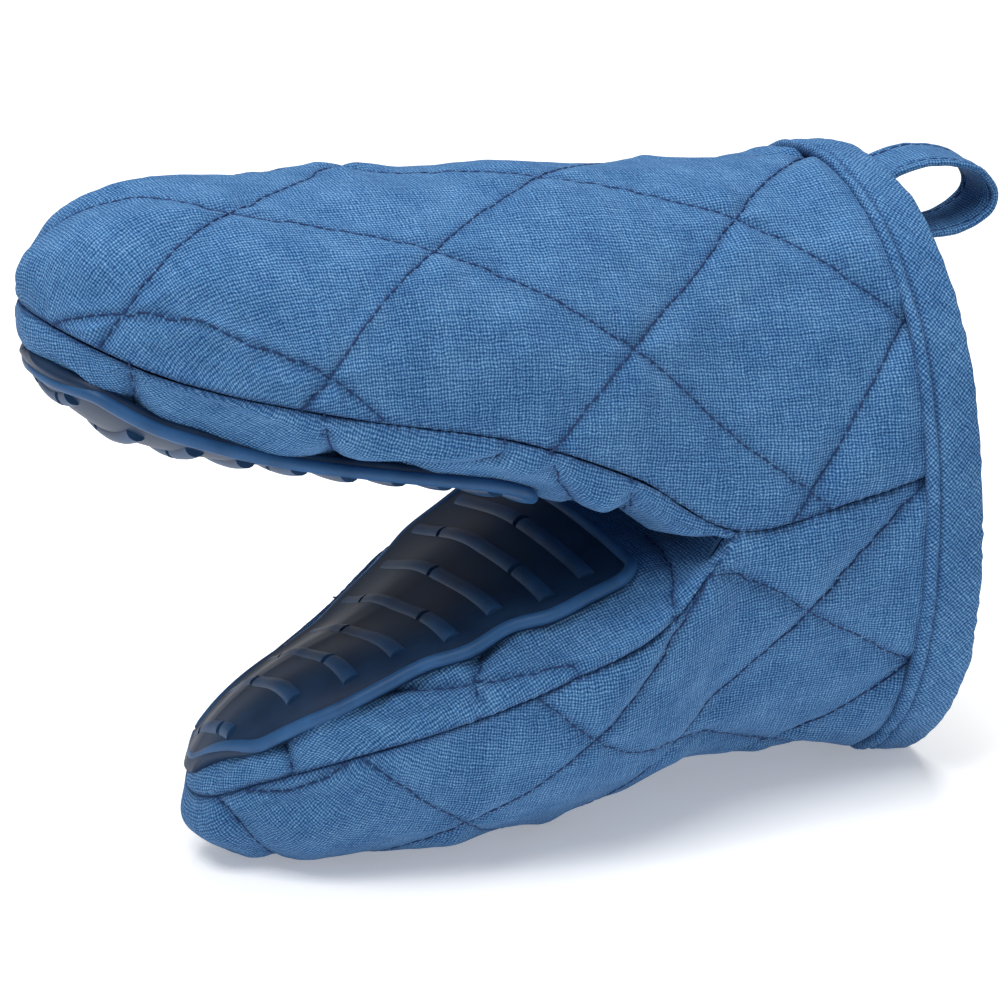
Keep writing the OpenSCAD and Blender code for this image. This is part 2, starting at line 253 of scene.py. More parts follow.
def cleaned(piece, turnFaces=False):
    # merges doubled points, takes away faces with no area and, if asked, turns every face outward
    work = bmesh.new()
    work.from_mesh(piece.data)
    bmesh.ops.remove_doubles(work, verts=work.verts, dist=0.00002)
    bmesh.ops.dissolve_degenerate(work, edges=work.edges, dist=0.00001)
    if turnFaces:
        bmesh.ops.recalc_face_normals(work, faces=work.faces)
    work.to_mesh(piece.data)
    work.free()
    return piece


def ripple(points, wavelength, seed, waves=10):
    # a smooth random field, about -1 to 1, over points in millimetres
    rng = np.random.default_rng(seed)
    total = 0.0
    for n in range(waves):
        direction = rng.normal(size=points.shape[-1])
        direction *= rng.uniform(0.7, 1.4) * 2 * math.pi / (wavelength * np.linalg.norm(direction))
        total = total + np.sin(points @ direction + rng.uniform(0, 2 * math.pi))
    return total / math.sqrt(waves)


def lengthAlong(p):
    # how far along a line each of its points lies
    return np.concatenate([[0], np.cumsum(np.linalg.norm(np.diff(p, axis=0), axis=1))])


def treeOf(points):
    tree = KDTree(len(points))
    for n, p in enumerate(points):
        tree.insert(p, n)
    tree.balance()
    return tree


def finer(grid):
    # doubles a grid's rows and columns along smooth curves
    for axis in (0, 1):
        g = np.moveaxis(grid, axis, 0)
        ends = np.concatenate([2 * g[:1] - g[1:2], g, 2 * g[-1:] - g[-2:-1]])
        between = (-ends[:-3] + 9 * ends[1:-2] + 9 * ends[2:-1] - ends[3:]) / 16
        out = np.zeros((2 * len(g) - 1,) + g.shape[1:])
        out[::2], out[1::2] = g, between
        grid = np.moveaxis(out, 0, axis)
    return grid


def gridNormals(p):
    n = np.cross(np.gradient(p, axis=0), np.gradient(p, axis=1))
    return n / np.maximum(1e-9, np.linalg.norm(n, axis=-1, keepdims=True))


def flattened(p, rounds=500):
    # lays the cloth flat: every thread keeps its length, so the weave has the same scale everywhere
    rows, columns = p.shape[:2]
    middle = columns // 2
    u = lengthAlong(p[:, middle])
    steps = np.linalg.norm(np.diff(p, axis=1), axis=2)
    across = np.concatenate([np.zeros((rows, 1)), np.cumsum(steps, 1)], 1)
    flat = np.stack([u[:, None] + 0 * across, across - across[:, middle:middle + 1]], -1)
    pairs = [(slice(None, -1), slice(None), slice(1, None), slice(None)),
             (slice(None), slice(None, -1), slice(None), slice(1, None)),
             (slice(None, -1), slice(None, -1), slice(1, None), slice(1, None)),
             (slice(None, -1), slice(1, None), slice(1, None), slice(None, -1))]
    for _ in range(rounds):
        push, count = np.zeros_like(flat), np.zeros((rows, columns, 1))
        for a, b, c, d in pairs:
            span = flat[c, d] - flat[a, b]
            now = np.maximum(1e-6, np.linalg.norm(span, axis=-1, keepdims=True))
            want = np.linalg.norm(p[c, d] - p[a, b], axis=-1, keepdims=True)
            move = span * (0.5 * (now - want) / now)
            push[a, b] += move
            push[c, d] -= move
            count[a, b] += 1
            count[c, d] += 1
        flat += 0.9 * push / count * 1.5
    return flat


# materials

weave = {
    "yarn": 0.68,             # mm from one yarn to the next, a coarse canvas
    "biasYarn": 0.72,
    "biasTurn": 38.0,
    "sheetingYarn": 0.45,
    "bump": 0.16,
}


def startMaterial(name):
    material = bpy.data.materials.new(name)
    material.use_nodes = True
    material.node_tree.nodes.clear()
    return material, material.node_tree


def wovenMaterial(name, colours, yarn, turn=0.0, bump=0.12, contrast=1.0):
    # dyed cotton canvas, plain weave: matt, with small bright yarn tops,
    # dark pores between them and uneven yarns, and painted shade along its stitches and seams
    material, tree = startMaterial(name)
    cloth = addNode(tree, "ShaderNodeUVMap", uv_map="cloth")
    turned = addNode(tree, "ShaderNodeMapping", {"Vector": cloth, "Rotation": (0, 0, turn),
                                                 "Scale": (1 / yarn, 1 / yarn, 1)})
    wander = addNode(tree, "ShaderNodeTexNoise", {"Vector": turned, "Scale": 0.3, "Detail": 2.0})
    centred = addNode(tree, "ShaderNodeVectorMath", {0: wander.outputs["Color"], 1: (0.5, 0.5, 0.5)},
                      operation="SUBTRACT")
    shifted = addNode(tree, "ShaderNodeVectorMath", {0: centred, 1: (1.6, 1.6, 0), 2: turned},
                      operation="MULTIPLY_ADD")
    split = addNode(tree, "ShaderNodeSeparateXYZ", {0: shifted})
    waves = {}
    for channel in (0, 1):
        for pace, turns in (("slow", math.pi), ("quick", 2 * math.pi)):
            angle = addNode(tree, "ShaderNodeMath", {0: split.outputs[channel], 1: turns},
                            operation="MULTIPLY")
            waves[pace, channel] = addNode(tree, "ShaderNodeMath", {0: angle}, operation="COSINE")
    warp, weft = waves["quick", 0], waves["quick", 1]
    tops = addNode(tree, "ShaderNodeMath", {0: warp, 1: weft}, operation="ADD")
    across = addNode(tree, "ShaderNodeMath", {0: warp, 1: weft}, operation="SUBTRACT")
    parity = addNode(tree, "ShaderNodeMath", {0: waves["slow", 0], 1: waves["slow", 1]}, operation="MULTIPLY")
    alternate = addNode(tree, "ShaderNodeMath", {0: across, 1: parity}, operation="MULTIPLY")
    over = addNode(tree, "ShaderNodeMath", {0: alternate, 1: 0.45, 2: tops}, operation="MULTIPLY_ADD")
    slubs = []
    for stretch in ((0.09, 0.9, 1), (0.9, 0.09, 1)):      # thick and thin stretches of yarn, both ways
        drawnOut = addNode(tree, "ShaderNodeMapping", {"Vector": turned, "Scale": stretch})
        slubs.append(addNode(tree, "ShaderNodeTexNoise", {"Vector": drawnOut, "Scale": 1.0, "Detail": 1.0}))
    slub = addNode(tree, "ShaderNodeMath", {0: slubs[0], 1: slubs[1]}, operation="ADD")
    grain = addNode(tree, "ShaderNodeTexNoise", {"Vector": turned, "Scale": 1.3, "Detail": 2.0,
                                                 "Roughness": 0.7})
    patch = addNode(tree, "ShaderNodeTexNoise", {"Vector": turned, "Scale": 0.06, "Detail": 3.0})
    tone = addNode(tree, "ShaderNodeMath", {0: over, 1: 0.175 * contrast, 2: 0.53}, operation="MULTIPLY_ADD")
    for part, strength, middle in ((slub, 0.25, 1.0), (grain, 0.8, 0.5), (patch, 0.3, 0.5)):
        off = addNode(tree, "ShaderNodeMath", {0: part, 1: middle}, operation="SUBTRACT")
        tone = addNode(tree, "ShaderNodeMath", {0: off, 1: strength * contrast, 2: tone},
                       operation="MULTIPLY_ADD")
    ramp = addNode(tree, "ShaderNodeValToRGB", {0: tone})
    stops = ramp.color_ramp.elements
    stops[0].position, stops[1].position = 0.12, 0.98
    stops.new(0.38)
    stops.new(0.62)
    for stop, code in zip(stops, colours):
        stop.color = hexLinear(code)
    # painted shade: the colour is mixed towards dark navy along the stitch valleys and seam grooves, where
    # shade falls
    paintedGrooveShade = addNode(tree, "ShaderNodeAttribute", attribute_name="paintedGrooveShade", attribute_type="GEOMETRY")
    shade = addNode(tree, "ShaderNodeMath", {0: paintedGrooveShade.outputs["Fac"], 1: 0.75}, operation="MULTIPLY")
    colourWithPaintedShade = addNode(tree, "ShaderNodeMix", {0: shade, 6: ramp, 7: hexLinear("#142a55")}, data_type="RGBA")
    raised = addNode(tree, "ShaderNodeBump", {"Height": tone, "Strength": 0.7, "Distance": bump * mm})
    shader = addNode(tree, "ShaderNodeBsdfPrincipled", {
        "Base Color": colourWithPaintedShade.outputs[2], "Normal": raised, "Roughness": 0.92,
        "Specular IOR Level": 0.15, "Sheen Weight": 0.1, "Sheen Roughness": 0.5,
        "Sheen Tint": hexLinear("#a9c6ec")})
    addNode(tree, "ShaderNodeOutputMaterial", {"Surface": shader})
    return material


def threadMaterial():
    # navy polyester sewing thread: two plies twisted, slightly glossy
    material, tree = startMaterial("polyesterThread")
    coords = addNode(tree, "ShaderNodeTexCoord").outputs["Object"]
    ply = addNode(tree, "ShaderNodeTexNoise", {"Vector": coords, "Scale": 900.0, "Detail": 1.0})
    ramp = addNode(tree, "ShaderNodeValToRGB", {0: ply})
    for stop, code in zip(ramp.color_ramp.elements, ("#11244a", "#1e3c6c")):
        stop.color = hexLinear(code)
    twist = addNode(tree, "ShaderNodeBump", {"Height": ply, "Strength": 0.4, "Distance": 0.05 * mm})
    shader = addNode(tree, "ShaderNodeBsdfPrincipled", {"Base Color": ramp, "Normal": twist, "Roughness": 0.6,
                                                        "Specular IOR Level": 0.25})
    addNode(tree, "ShaderNodeOutputMaterial", {"Surface": shader})
    return material


def siliconeMaterial(name, dark, light):
    # moulded silicone rubber, navy: satin, faintly dusty, with a fine spark-eroded mould grain
    material, tree = startMaterial(name)
    coords = addNode(tree, "ShaderNodeTexCoord").outputs["Object"]
    grain = addNode(tree, "ShaderNodeTexNoise", {"Vector": coords, "Scale": 2500.0, "Detail": 2.0})
    dust = addNode(tree, "ShaderNodeTexNoise", {"Vector": coords, "Scale": 130.0, "Detail": 4.0})
    ramp = addNode(tree, "ShaderNodeValToRGB", {0: dust})
    for stop, position, code in zip(ramp.color_ramp.elements, (0.35, 0.75), (dark, light)):
        stop.position = position
        stop.color = hexLinear(code)
    rough = addNode(tree, "ShaderNodeMapRange", {0: dust, 3: 0.42, 4: 0.6})
    bump = addNode(tree, "ShaderNodeBump", {"Height": grain, "Strength": 0.25, "Distance": 0.05 * mm})
    shader = addNode(tree, "ShaderNodeBsdfPrincipled", {
        "Base Color": ramp, "Roughness": rough, "Normal": bump, "IOR": 1.41, "Specular IOR Level": 0.35,
        "Sheen Weight": 0.05, "Sheen Roughness": 0.4, "Sheen Tint": hexLinear("#6d8cb5")})
    addNode(tree, "ShaderNodeOutputMaterial", {"Surface": shader})
    return material


canvasBlues = ["#123260", "#2a5586", "#42719f", "#7ba3c8"]
liningBlues = ["#284a70", "#3a6590", "#4d7ba8", "#6f96bf"]
canvas = wovenMaterial("cottonCanvas", canvasBlues, weave["yarn"], bump=weave["bump"])
biasCanvas = wovenMaterial("cottonCanvasOnTheBias", canvasBlues, weave["biasYarn"],
                           math.radians(weave["biasTurn"]), weave["bump"])
sheeting = wovenMaterial("cottonSheeting", liningBlues, weave["sheetingYarn"], bump=0.08, contrast=0.6)
thread = threadMaterial()
silicone = siliconeMaterial("siliconeRubber", "#0f2440", "#1a3552")
# the bars and the rim are lighter copies of the same silicone: painted light, for the light that their raised
# shapes catch
siliconeBarsPaintedLighter = siliconeMaterial("siliconeRubberBarsPaintedLighter", "#173658", "#254a72")
siliconeRimPaintedLighter = siliconeMaterial("siliconeRubberRimPaintedLighter", "#204872", "#2d5a8a")
print("materials ready")


# each sewn line is a list of points: x, and the distance round the cloth from the middle line

quilting = {
    "depth": 1.2, "step": 0.6, "clearOfCuff": 3.0, "clearOfTip": 1.5,
    "back": [
        [(186, 16), (171, 3), (147, -14), (111, -28), (74, -50), (53, -66), (36, -80), (27, -92)],
        [(160, 30), (118, 8), (79, -5.5), (41, -20.5), (11, -47), (0, -58)],
        [(140, 60), (122, 46), (86, 32), (47, 17), (11, 2), (0, -4)],
        [(112, 84), (92, 70), (55, 58), (17, 42), (0, 33)],
        [(60, 95), (30, 84), (0, 68)],
        [(186, -14), (172.5, -29), (155, -42), (138, -53), (128, -62)],
        [(186, -42), (172.5, -29), (147, -14), (127, -1.6), (118, 8), (86, 32), (55, 58), (30, 84), (24, 92)],
        [(146, -62), (138, -53), (127, -41), (111, -28), (79, -5.5), (47, 17), (17, 42), (0, 56)],
        [(102, -78), (92, -69), (74, -50), (41, -20.5), (11, 2), (0, 11)],
        [(44, -92), (36, -80), (28, -69), (11, -47), (0, -38)],
        [(165, 12.5), (152, 24), (122, 46), (92, 70), (78, 84)],
    ],
    "under": [
        [(15 + s, 1.15 * s) for s in (-26, 0, 30, 60, 84)],
        [(53 + s, 1.15 * s) for s in (-60, -30, 0, 30, 60, 84)],
        [(92.5 + s, 1.15 * s) for s in (-84, -70, -56, -45, -30, 0, 30, 56)],
        [(130 + s, 1.15 * s) for s in (-84, -50, -30, 0, 22)],
        [(167.5 + s, 1.15 * s) for s in (-60, -45, -36, -25, -16)],
        [(-23 + s, 1.15 * s) for s in (20, 50, 84)],
        [(-63.5 + 1.5 * s, -s) for s in (40, 50, 65, 78, 92)],
        [(0.5 + 1.5 * s, -s) for s in (-2, 20, 45, 70)],
        [(64.5 + 1.5 * s, -s) for s in (-45, -20, 0, 20, 42, 60)],
        [(128.5 + 1.5 * s, -s) for s in (-92, -60, -30, 0, 20)],
    ],
}
# on the palm the second number is the share from the middle line to the seam
palmQuilting = {
    "finger": [
        [(172, 1.0), (169.5, 0.7)], [(139, 1.0), (130.5, 0.75), (104, 1.0)],
        [(94, 1.0), (86, 0.8), (78, 0.5)], [(76, 1.0), (70, 0.5), (66, 0.0)],
    ],
    "thumb": [
        [(141, 0.8), (140.5, 1.0)], [(102.5, 0.76), (107.7, 0.92), (107.5, 1.0)],
        [(124, 0.76), (107.7, 0.92), (88, 1.0)], [(60, 0.4), (64, 0.82), (67, 0.93), (66.5, 1.0)],
    ],
}


def shareAt(face, x, s):
    # finds the share k at a distance s round from the middle line
    angle = np.linspace(0, math.pi / 2, 60)
    out = []
    for xi, si in zip(x, s):
        ring = face(np.full(60, xi), np.sin(angle))
        arc = lengthAlong(ring)
        share = math.copysign(math.sin(np.interp(abs(si), arc, angle)), si)
        out.append(share if abs(si) < arc[-1] - 0.3 else np.nan)
    return np.array(out)


def drawn(points, step):
    # a smooth curve through the points, with a point every step millimetres
    p = np.array(points, float)
    ends = np.concatenate([2 * p[:1] - p[1:2], p, 2 * p[-1:] - p[-2:-1]])
    out = []
    for a, b, c, d in zip(ends[:-3], ends[1:-2], ends[2:-1], ends[3:]):
        t = np.linspace(0, 1, max(2, int(np.linalg.norm(c - b) / step)), endpoint=False)[:, None]
        out.append(0.5 * (2 * b + (c - a) * t + (2 * a - 5 * b + 4 * c - d) * t**2
                          + (3 * b - a - 3 * c + d) * t**3))
    return np.concatenate(out + [p[-1:]])


def sewnPaths(face, lines, length, shares=False):
    q = quilting
    paths = []
    for line in lines:
        if shares:
            p = drawn([(x, k * 40) for x, k in line], q["step"])
            x, k = p[:, 0], p[:, 1] / 40
        else:
            p = drawn(line, q["step"])
            x = p[:, 0]
            k = shareAt(face, np.clip(x, 0, length - q["clearOfTip"]), p[:, 1])
        keep = (x > q["clearOfCuff"]) & (x < length - q["clearOfTip"]) & np.isfinite(k) & (np.abs(k) <= 1)
        if keep.sum() > 3:
            paths.append(face(x[keep], k[keep], q["depth"]))
    return paths


backPaths = sewnPaths(backFace, quilting["back"], mitt["fingerLength"])
underPaths = sewnPaths(underFace, quilting["under"], mitt["thumbLength"])
palmPaths = []
for side in (-1, 1):
    for key, face, length in (("finger", fingerPalm, mitt["fingerLength"]),
                              ("thumb", thumbPalm, mitt["thumbLength"])):
        lines = [[(x, k * side) for x, k in line] for line in palmQuilting[key]]
        palmPaths += sewnPaths(face, lines, length, shares=True)
print("sewn lines:", len(backPaths), len(underPaths), len(palmPaths))


def nearestSewn(points, paths):
    # distance to the nearest sewn line, and how far along it that is
    at = np.concatenate(paths)
    run = np.concatenate([lengthAlong(p) + 97 * n for n, p in enumerate(paths)])
    tree = treeOf(at)
    found = [tree.find(p)[1:] for p in points.reshape(-1, 3)]
    distance = np.array([f[1] for f in found]).reshape(points.shape[:-1])
    return distance, run[np.array([f[0] for f in found])].reshape(points.shape[:-1])


# padded panels

binding = {"width": 10.8, "thickness": 0.9, "wall": 6.9, "around": 300, "stitchRun": 5.4}

padding = {
    "spacing": 2.0,           # of the first, coarse cloth grid
    "columns": 88,
    "firstRow": 2.0,          # where the cloth starts under the cuff binding
    "foldRow": 53.2,
    "tipRun": 50.0,           # the rows bend into a round end over this length
    "thumbTipRun": 44.0,
    "crown": -1.1,            # depth of the cloth between sewn lines; negative stands proud
    "sewnDepth": 2.1,
    "sewnSpread": 4.6,
    "seamDepth": 1.9,
    "seamSpread": 4.2,
    "turnIn": 4.4,            # depth that the seam allowance reaches inside
    "startDepth": 1.2,
    "gripDepth": 0.9,         # the cloth lies flat under a grip
    "pressure": 4.0,
    "slack": -0.015,          # the cloth is this much fuller than the form under it
    "frames": 20,
    "cap": 3.0,               # the most that the wadding can push the cloth
    "calm": 12,               # rounds of averaging
}

creases = {
    "valley": 0.7, "valleyWidth": 1.1, "pucker": 0.15, "puckerPitch": 6.3, "puckerReach": 5.5,
    "soft": 0.24, "softSize": 24, "fine": 0.08, "fineSize": 8,
    "gather": 0.16, "gatherSize": 16, "gatherReach": 6, "sewnShade": 0.9, "seamShade": 0.8,
}


def chart(face, first, length, tipRun):
    # rows run from first to the tip, columns from seam to seam; the tip's rows bend into a round end
    side = np.linspace(-1, 1, padding["columns"] + 1)
    start = length - tipRun
    straight = np.linspace(first, start, round((start - first) / padding["spacing"]) + 1)
    tip = np.linspace(0, 1, round(1.3 * tipRun / padding["spacing"]) + 1)[1:]
    rowX = np.concatenate([straight, np.full(len(tip), start)])
    a, b = np.meshgrid(np.concatenate([0 * straight, tip]), side, indexing="ij")
    towards, aside = a * np.sqrt(1 - b**2 / 2), b * np.sqrt(1 - a**2 / 2)
    radius, turn = np.minimum(1, np.hypot(towards, aside)), np.arctan2(aside, towards)
    turn = np.where(a == 0, np.sign(b) * math.pi / 2, turn)
    reach = np.where(a == 0, 0, np.sin(radius * math.pi / 2) * np.cos(turn))
    k = np.sin(radius * math.pi / 2) * np.sin(turn) / np.sqrt(np.maximum(1e-9, 1 - reach**2))
    k = np.where((np.abs(b) > 0.999) | (a > 0.999), np.where(b < 0, -1, 1), np.clip(k, -1, 1))
    k = np.where((a > 0.999) & (np.abs(b) < 0.0001), 1, k)
    return {"x": rowX[:, None] + 0 * b, "reach": reach, "k": k, "end": length + 0 * b, "start": start + 0 * b,
            "face": np.zeros(b.shape, int), "faces": [face], "bothEnds": False}


gripShape = {
    "shortOfTip": 2.0, "thickness": 1.6, "sunk": 0.9, "cornerRound": 8.0, "edgeRound": 1.2, "spacing": 0.9,
    "rimWidth": 2.6, "rimRise": 1.1, "rimInset": 1.1, "rimSunk": 0.25, "rimStep": 1.2,
    "barWidth": 3.2, "barRise": 1.7, "barSunk": 0.3, "barStep": 0.7, "barGap": 1.5, "leastBar": 3.0,
    "firstBar": 7.0, "barPitch": 9.7, "barShort": [5.0, 6.0], "rowSplit": 0.56,
    "finger": {"face": fingerPalm, "side": fingerSide, "end": 185.0, "start": 92.0,
               "share": [(92, 0.79), (103, 0.81), (115, 0.77), (130, 0.79), (142, 0.76), (156, 0.78),
                         (185, 0.8)]},
    "thumb": {"face": thumbPalm, "side": thumbSide, "end": 154.0, "start": 69.0,
              "share": [(69, 0.74), (80, 0.76), (90, 0.79), (98, 0.76), (107, 0.8), (115, 0.78), (124, 0.82),
                        (134, 0.86), (154, 0.86)]},
}


def palmPattern():
    # one piece of cloth from the fingertips, round the fold, to the tip of the thumb
    finger = chart(fingerPalm, padding["foldRow"], mitt["fingerLength"], padding["tipRun"])
    thumb = chart(thumbPalm, padding["foldRow"], mitt["thumbLength"], padding["thumbTipRun"])
    thumb["face"] = thumb["face"] + 1
    grids = [key for key, value in finger.items() if isinstance(value, np.ndarray)]
    whole = {key: np.concatenate([finger[key][::-1], finger[key][:1], thumb[key]]) for key in grids}
    bend = len(finger["x"])
    whole["face"][bend] = 2
    whole.update({"faces": [fingerPalm, thumbPalm, foldLine], "bothEnds": True})
    gripped = np.zeros(whole["x"].shape)
    for index, name in ((0, "finger"), (1, "thumb")):
        x = lay(whole, 0 * gripped, onlyX=True)
        part = gripShape[name]
        share = along(part["share"], x) - 0.02
        inside = np.minimum(x - part["start"] - 1.5, part["end"] - 1.5 - x)
        inside = np.minimum((share - np.abs(whole["k"])) * 42, inside)
        gripped = np.where(whole["face"] == index, smooth(inside / 2.0), gripped)
    whole["cap"] = gripped
    return whole


def foldLine(x, k, depth=0.0):
    # the bottom of the fold between finger and thumb
    return (fingerPalm(x, k, depth) + thumbPalm(x, k, depth)) / 2 + np.array([0.8, 0, 0])


def turnedIn(grid, bothEnds):
    # repeats the edges at both sides and the tips, for the seam allowance
    return np.pad(grid, ((1 if bothEnds else 0, 1), (1, 1)), mode="edge")


def widened(c):
    return {key: turnedIn(value, c["bothEnds"]) if isinstance(value, np.ndarray) else value
            for key, value in c.items()}


def flangeMask(c):
    mask = turnedIn(np.zeros(c["x"].shape, bool), c["bothEnds"])
    mask[:, 0] = mask[:, -1] = mask[-1] = True
    if c["bothEnds"]:
        mask[0] = True
    return mask


def lay(c, depth, onlyX=False):
    x = np.where(c["reach"] > 0, c["start"] + (c["end"] - depth - c["start"]) * c["reach"], c["x"])
    if onlyX:
        return x
    points = c["faces"][0](x, c["k"], depth)
    for index, face in enumerate(c["faces"][1:], 1):
        points = np.where((c["face"] == index)[..., None], face(x, c["k"], depth), points)
    return points


def seamDistance(points, edge):
    tree = treeOf(edge)
    return np.array([tree.find(p)[2] for p in points.reshape(-1, 3)]).reshape(points.shape[:-1])


def paddedDepth(toSewn, toSeam):
    sewn = np.exp(-(toSewn / padding["sewnSpread"]) ** 1.25)
    seam = np.exp(-(toSeam / padding["seamSpread"]) ** 1.1)
    low = padding["crown"]
    return low + np.maximum((padding["sewnDepth"] - low) * sewn, (padding["seamDepth"] - low) * seam)


def finishCloth(points, paths, edge, outward, seed):
    # the fine shape: stitches pull a narrow valley with small puckers, and the cloth has soft creases; with it
    # goes a painted shade along the sewn lines and seams
    c = creases
    toSewn, run = nearestSewn(points, paths)
    toSeam = seamDistance(points, edge)
    normal = gridNormals(points) * outward
    free = smooth(toSeam / 3)
    valley = -c["valley"] * np.exp(-(toSewn / c["valleyWidth"]) ** 2) * free
    fade = np.exp(-(toSewn / c["puckerReach"]) ** 2) * smooth(toSewn / 1.2) * free
    swing = run * 2 * math.pi / c["puckerPitch"] + 1.5 * ripple(points, 25, seed)
    pucker = c["pucker"] * np.sin(swing) * fade
    pucker = pucker * (0.6 + 0.6 * ripple(points, 20, seed + 1))
    soft = c["soft"] * ripple(points, c["softSize"], seed + 2)
    soft = (soft + c["fine"] * ripple(points, c["fineSize"], seed + 3)) * free
    gather = c["gather"] * np.sin(ripple(points, c["gatherSize"], seed + 4) * 3)
    gather = gather * np.exp(-(toSeam / c["gatherReach"]) ** 2) * smooth(toSeam / 1.5)
    # painted shade: darker close to each sewn line and seam, where the valleys and grooves hold shade
    shade = np.exp(-(toSewn / c["sewnShade"]) ** 2) + np.exp(-(toSeam / c["seamShade"]) ** 2)
    return points + normal * (valley + pucker + soft + gather)[..., None], np.clip(shade, 0, 1)


def seamEdge(points, bothEnds):
    # the edge that is sewn, just inside the turned-in rows
    edges = [points[:, 1], points[:, -2], points[-2, 1:-1]] + ([points[1, 1:-1]] if bothEnds else [])
    return np.concatenate(edges)


def tuckedUnderCuff(c, depth):
    # the cloth dips where the cuff binding is sewn over it
    x = lay(c, 0 * depth, onlyX=True)
    dip = np.exp(-(np.maximum(0, x - binding["width"] - 0.5) / 2.4) ** 1.2) * (c["face"] == 0)
    return depth if c["bothEnds"] else np.maximum(depth, padding["crown"] + (0.9 - padding["crown"]) * dip)


def paintGrooveShade(piece, shade):
    # painted shade: the cloth is painted darker along its stitch valleys and seam grooves, where shade falls
    layer = piece.data.attributes.new("paintedGrooveShade", "FLOAT", "POINT")
    layer.data.foreach_set("value", shade.ravel().astype(np.float32))


def cornersApart(depth, bothEnds):
    # keeps the corner points of the seam allowance from lying on each other
    for row, nextRow in ((-1, -2), (0, 1))[:2 if bothEnds else 1]:
        for column in (0, -1):
            depth[row, column] += 0.9
            depth[nextRow, column] += 0.45
    return depth


def puffedUp(points, held, outward):
    # the wadding pushes the cloth out between the seams and sewn lines, which are held
    scale = 10.0              # the cloth is worked ten times as large, where the solver is steady
    rows, columns = points.shape[:2]
    start = points.reshape(-1, 3) * mm * scale
    data = bpy.data.meshes.new("working")
    data.from_pydata(start.tolist(), [], gridFaces(rows, columns, flip=outward < 0))
    working = bpy.data.objects.new("working", data)
    scene.collection.objects.link(working)
    group = working.vertex_groups.new(name="held")
    levels = np.round(held.ravel() * 20) / 20
    for level in np.unique(levels[levels > 0]):
        group.add(np.nonzero(levels == level)[0].tolist(), float(level), "REPLACE")
    cloth = working.modifiers.new("padding", "CLOTH")
    canvasSheet = {"vertex_group_mass": "held", "quality": 6, "mass": 0.15, "tension_stiffness": 12,
                   "compression_stiffness": 12, "shear_stiffness": 4, "bending_stiffness": 0.4,
                   "shrink_min": padding["slack"], "use_pressure": True,
                   "uniform_pressure_force": padding["pressure"]}
    for key, value in canvasSheet.items():
        setattr(cloth.settings, key, value)
    cloth.settings.effector_weights.gravity = 0
    cloth.collision_settings.use_collision = False
    for number in range(1, padding["frames"] + 1):
        scene.frame_set(number)
    evaluated = working.evaluated_get(bpy.context.evaluated_depsgraph_get())
    end = np.zeros(len(start) * 3)
    evaluated.data.vertices.foreach_get("co", end)
    move = (end.reshape(-1, 3) - start) / (mm * scale)
    size = np.linalg.norm(move, axis=1, keepdims=True)
    print("  cloth moved: mean %.2f mm, most %.2f mm" % (size.mean(), size.max()))
    move *= np.minimum(1, padding["cap"] / np.maximum(size, 0.001))
    move = move.reshape(points.shape)
    for _ in range(padding["calm"]):      # the wadding behind it keeps the cloth from small creases
        wide = np.pad(move, ((1, 1), (1, 1), (0, 0)), mode="edge")
        move = (2 * move + wide[:-2, 1:-1] + wide[2:, 1:-1] + wide[1:-1, :-2] + wide[1:-1, 2:]) / 6
    move *= (1 - held)[..., None]
    bpy.data.objects.remove(working)
    bpy.data.meshes.remove(data)
    scene.frame_set(1)
    return points + move.reshape(points.shape)


def paddedPanel(name, c, paths, outward, seed):
    flange = flangeMask(c)
    wide = widened(c)
    base = lay(wide, np.full(flange.shape, padding["startDepth"]))
    toSewn, _ = nearestSewn(base, paths)
    toSeam = seamDistance(base, seamEdge(base, c["bothEnds"]))
    depth = tuckedUnderCuff(wide, paddedDepth(toSewn, toSeam))
    if "cap" in c:
        depth = wide["cap"] * padding["gripDepth"] + (1 - wide["cap"]) * depth
    depth = cornersApart(np.where(flange, padding["turnIn"], depth), c["bothEnds"])
    points = lay(wide, depth)
    flat = flattened(points)
    held = np.maximum(np.exp(-(toSewn / 1.6) ** 2), np.exp(-(toSeam / 1.2) ** 2))
    if "cap" in c:
        held = np.maximum(held, wide["cap"])
    if not c["bothEnds"]:
        x = lay(wide, 0 * held, onlyX=True)
        held = np.maximum(held, smooth((binding["width"] + 3 - x) / 2))
    points = puffedUp(points, np.where(flange, 1, held), outward)
    points, flat = finer(points), finer(flat)
    edge = seamEdge(lay(wide, np.full(flange.shape, padding["seamDepth"])), c["bothEnds"])
    points, shade = finishCloth(points, paths, edge, outward, seed)
    faces = gridFaces(*points.shape[:2], flip=outward < 0)
    piece = meshPiece(name, points.reshape(-1, 3), faces, canvas, flat.reshape(-1, 2))
    # stores the painted shade of the stitch valleys and seam grooves on the cloth
    paintGrooveShade(piece, shade)
    return piece


backChart = chart(backFace, padding["firstRow"], mitt["fingerLength"], padding["tipRun"])
underChart = chart(underFace, padding["firstRow"], mitt["thumbLength"], padding["thumbTipRun"])
backPanel = paddedPanel("backPanel", backChart, backPaths, -1, 11)
undersidePanel = paddedPanel("undersidePanel", underChart, underPaths, 1, 23)
palmChart = palmPattern()
palmPanel = paddedPanel("palmPanel", palmChart, palmPaths, -1, 37)
print("panels:", [len(piece.data.polygons) for piece in (backPanel, undersidePanel, palmPanel)])


# linings: plain cotton inside the wadding, sewn through at the same lines

# its edge reaches over the palm's by the overlap, so no light comes through the seam
lining = {"depth": 5.6, "turnIn": 4.9, "overlap": 0.7, "rise": 0.8, "sewnHalf": 4.4, "riseRun": 5.0}


